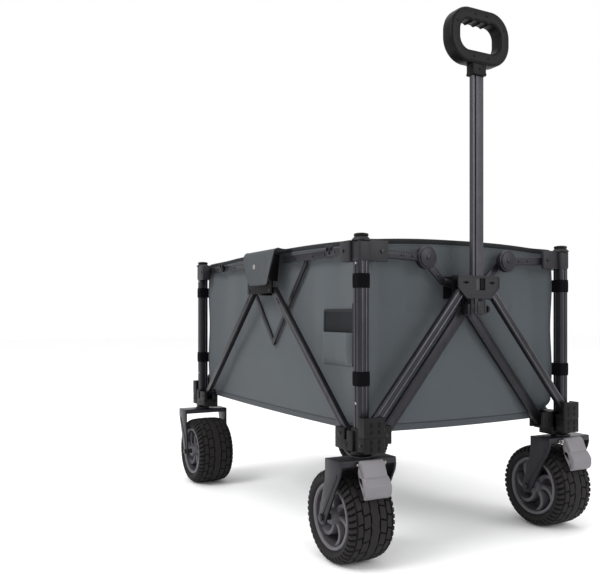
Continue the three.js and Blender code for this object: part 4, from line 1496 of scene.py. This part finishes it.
def flaps():
    """A flap over the middle of each side: from the rim out over the rails, round a bend and down over the hub."""
    for side, sy in (("r", -1), ("l", 1)):
        body = f"side_hub_{side}"
        path = []
        for k in range(15):
            path.append((SIDE_Y + 4 * MM + k / 14 * 33 * MM, 641.5 * MM - 2.2 * MM * math.sin(math.pi * k / 14)))
        bend = 11.5 * MM
        for k in range(1, 11):
            a = math.pi / 2 * (1 - k / 10)
            path.append((277.5 * MM + bend * math.cos(a), 630 * MM + bend * math.sin(a)))
        for k in range(1, 37):
            t = k / 36
            path.append((289.3 * MM + 2.2 * MM * math.sin(math.pi * t * 0.9), 630 * MM - t * 73 * MM))
        rows = []
        count = len(path)
        for j, (y, z) in enumerate(path):
            half = flap_outline(j / (count - 1))
            row = []
            for i in range(61):
                u = 2 * i / 60 - 1
                curl = 1.3 * MM * abs(u) ** 4 + 0.5 * MM * noise.noise(Vector((u * 3, j * 0.08, 4 + sy)))
                row.append(Vector((u * half, sy * (y + (curl if z < 630 * MM else 0)), z)))
            rows.append(row)
        flap = cloth_thickness(grid_mesh(f"side_flap_{side}", rows), 1.6 * MM)
        # The darker flap cloth is painted shade.
        finish_piece(flap, body, SHADED_FLAP_CLOTH, sharp=60)
        edge = []
        for j, (y, z) in enumerate(path):
            edge.append(Vector((-flap_outline(j / (count - 1)), sy * y, z)))
        bottom = [rows[-1][i].copy() for i in range(3, 58, 3)]
        right = [Vector((-p.x, p.y, p.z)) for p in reversed(edge)]
        loop = edge[:-1] + bottom + right[1:]
        tape = Build()
        tape.sweep(loop, circle(1.5 * MM, 10), up=(0.3, 0.2, 1))
        trim = place(tape, f"side_flap_edge_{side}", body, BINDING, "binding", sharp=60)
        # Near-black sheets closing the space under each side of the flap: painted shade.
        painted_shade_sheet = Build()
        for side_x in (-1, 1):
            outline = [
                (sy * 289 * MM, 628 * MM), (sy * 289 * MM, 566 * MM), (sy * 268 * MM, 566 * MM), (sy * 262 * MM, 628 * MM)
            ]
            painted_shade_sheet.prism(outline, "x", *sorted((side_x * 58 * MM, side_x * 61 * MM)), bevel=0.6 * MM)
        place(painted_shade_sheet, f"side_flap_gusset_{side}", body, BLACK_AND_PAINTED_SHADE, "black_plastic")
        snap = Build()
        for radius, depth in ((6.4, 1.0), (5.2, 2.0), (2.6, 2.5)):
            snap.disc((-20 * MM, sy * 291.2 * MM, 603 * MM), (0, sy, 0), radius * MM, depth * MM, 0.5 * MM, 32)
        stud = place(snap, f"side_flap_snap_{side}", body, NICKEL, "nickel")


def bottom_panel():
    """The tub's sewn bottom, under the mat."""
    rows = []
    for j in range(61):
        v = 2 * j / 60 - 1
        row = []
        for i in range(101):
            u = 2 * i / 100 - 1
            sag = 7 * MM * (1 - u * u) * (1 - v * v)
            ripple = 0.8 * MM * noise.noise(Vector((u * 4, v * 3, 40)))
            row.append(Vector((u * (END_X + 1 * MM), v * (SIDE_Y + 0.5 * MM), hem_z(u) + 1.5 * MM * (1 - u * u)
                               - sag * 0.4 - ripple * (1 - u ** 4) * (1 - v ** 4))))
        rows.append(row)
    obj = cloth_thickness(grid_mesh("tub_bottom", rows), 1.4 * MM)
    finish_piece(obj, "floor_mat", CLOTH_FLAT, sharp=60)
    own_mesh(obj)


def mat_panel(index, low, high):
    """One stuffed panel of the mat, blown up by cloth simulation inside a cap on how far it may move."""
    inset = 3 * MM
    build = Build()
    build.box(
        (low.x + inset, low.y + inset, low.z + 2.5 * MM), (high.x - inset, high.y - inset, high.z - 2.5 * MM),
        3 * MM, 3,
    )
    mesh = bpy.data.meshes.new(f"mat_panel_{index}")
    build.bm.to_mesh(mesh)
    build.bm.free()
    obj = bpy.data.objects.new(f"mat_panel_{index}", mesh)
    bpy.context.scene.collection.objects.link(obj)
    remesh = obj.modifiers.new("remesh", "REMESH")
    remesh.mode = "VOXEL"
    remesh.voxel_size = 5 * MM
    apply_modifiers(obj)
    start = np.array([v.co for v in obj.data.vertices])
    cloth = obj.modifiers.new("cloth", "CLOTH")
    cloth.settings.use_pressure = True
    cloth.settings.uniform_pressure_force = 4
    cloth.settings.effector_weights.gravity = 0
    cloth.point_cache.frame_start, cloth.point_cache.frame_end = 1, 16
    scene = bpy.context.scene
    for step in range(1, 17):
        scene.frame_set(step)
    apply_modifiers(obj)
    scene.frame_set(1)
    cap = 2.4 * MM
    moved = np.array([v.co for v in obj.data.vertices]) - start
    far = np.linalg.norm(moved, axis=1, keepdims=True)
    moved *= np.minimum(1.0, cap / np.maximum(far, 1e-9))
    obj.data.vertices.foreach_set("co", (start + moved).astype(np.float32).ravel())
    obj.data.update()
    finer = obj.modifiers.new("finer", "SUBSURF")
    finer.levels = 1
    return apply_modifiers(obj)


def floor_mat():
    low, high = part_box("floor_mat")
    panels = 4
    step = (high.x - low.x) / panels
    for i in range(panels):
        a = Vector((low.x + i * step, low.y, low.z))
        b = Vector((low.x + (i + 1) * step, high.y, high.z))
        obj = mat_panel(i, a, b)
        finish_piece(obj, "floor_mat", CLOTH_FLAT, "floor_mat" if i == 0 else (), sharp=60)
        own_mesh(obj)
    hinge = Build()
    for i in range(1, panels):
        x = low.x + i * step
        hinge.box(
            (x - 5 * MM, low.y + 4 * MM, low.z + 4.6 * MM), (x + 5 * MM, high.y - 4 * MM, low.z + 6.4 * MM), 0.6 * MM
        )
    folds = place(hinge, "mat_fold_lines", "floor_mat", BINDING, "binding")
    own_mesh(folds)


# ---------------------------------------------------------------- studio
def studio():
    scene = bpy.context.scene
    mesh = bpy.data.meshes.new("studio_floor")
    reach = 14.0
    mesh.from_pydata([(-reach, -reach, 0), (reach, -reach, 0), (reach, reach, 0), (-reach, reach, 0)], [], [(0, 1, 2, 3)])
    floor = bpy.data.objects.new("studio_floor", mesh)
    scene.collection.objects.link(floor)
    n = Nodes("studio_floor")
    n.join(n.ramp(n.noise(1.5), [(0.0, srgb(250, 250, 250)), (1.0, srgb(255, 255, 255))]), n.shader.inputs["Base Color"])
    n.shader.inputs["Roughness"].default_value = 0.9
    n.shader.inputs["Specular IOR Level"].default_value = 0.1
    mesh.materials.append(n.material)

    world = bpy.data.worlds.new("studio")
    scene.world = world
    world.use_nodes = True
    background = world.node_tree.nodes["Background"]
    background.inputs["Color"].default_value = (1, 1, 1, 1)
    background.inputs["Strength"].default_value = 1.0

    for name, spot, aim, span, power in (
        ("key", (0.6, -3.2, 3.0), (0, 0, 0.4), 2.2, 95),
        ("fill", (3.6, 1.6, 1.9), (0, 0, 0.4), 2.2, 52),
        ("top", (0, 0, 4.2), (0, 0, 0), 3.0, 40),
    ):
        light = bpy.data.lights.new(name, "AREA")
        light.shape = "DISK"
        light.size = span
        light.energy = power
        obj = bpy.data.objects.new(name, light)
        obj.location = spot
        obj.rotation_euler = (Vector(aim) - Vector(spot)).to_track_quat("-Z", "Y").to_euler()
        scene.collection.objects.link(obj)

    camera = bpy.data.cameras.new("camera")
    camera.sensor_width = 36
    camera.lens = 43.45
    camera.shift_y = 0.0486
    camera.clip_end = 60
    obj = bpy.data.objects.new("camera", camera)
    obj.location = (1.5998, -1.0386, 0.4825)
    obj.rotation_euler = (math.radians(90), 0, math.radians(61.62))
    scene.collection.objects.link(obj)
    scene.camera = obj
    scene.view_settings.view_transform = "Standard"


studio()
wheels()
forks()
foot_castings()
brake_pedals()
posts()
end_frame()
side_frame()
end_hub("f")
end_hub("r")
side_hub("r")
side_hub("l")
handle_base()
handle_pole()
handle_grip()
walls()
pocket()
flaps()
bottom_panel()
floor_mat()
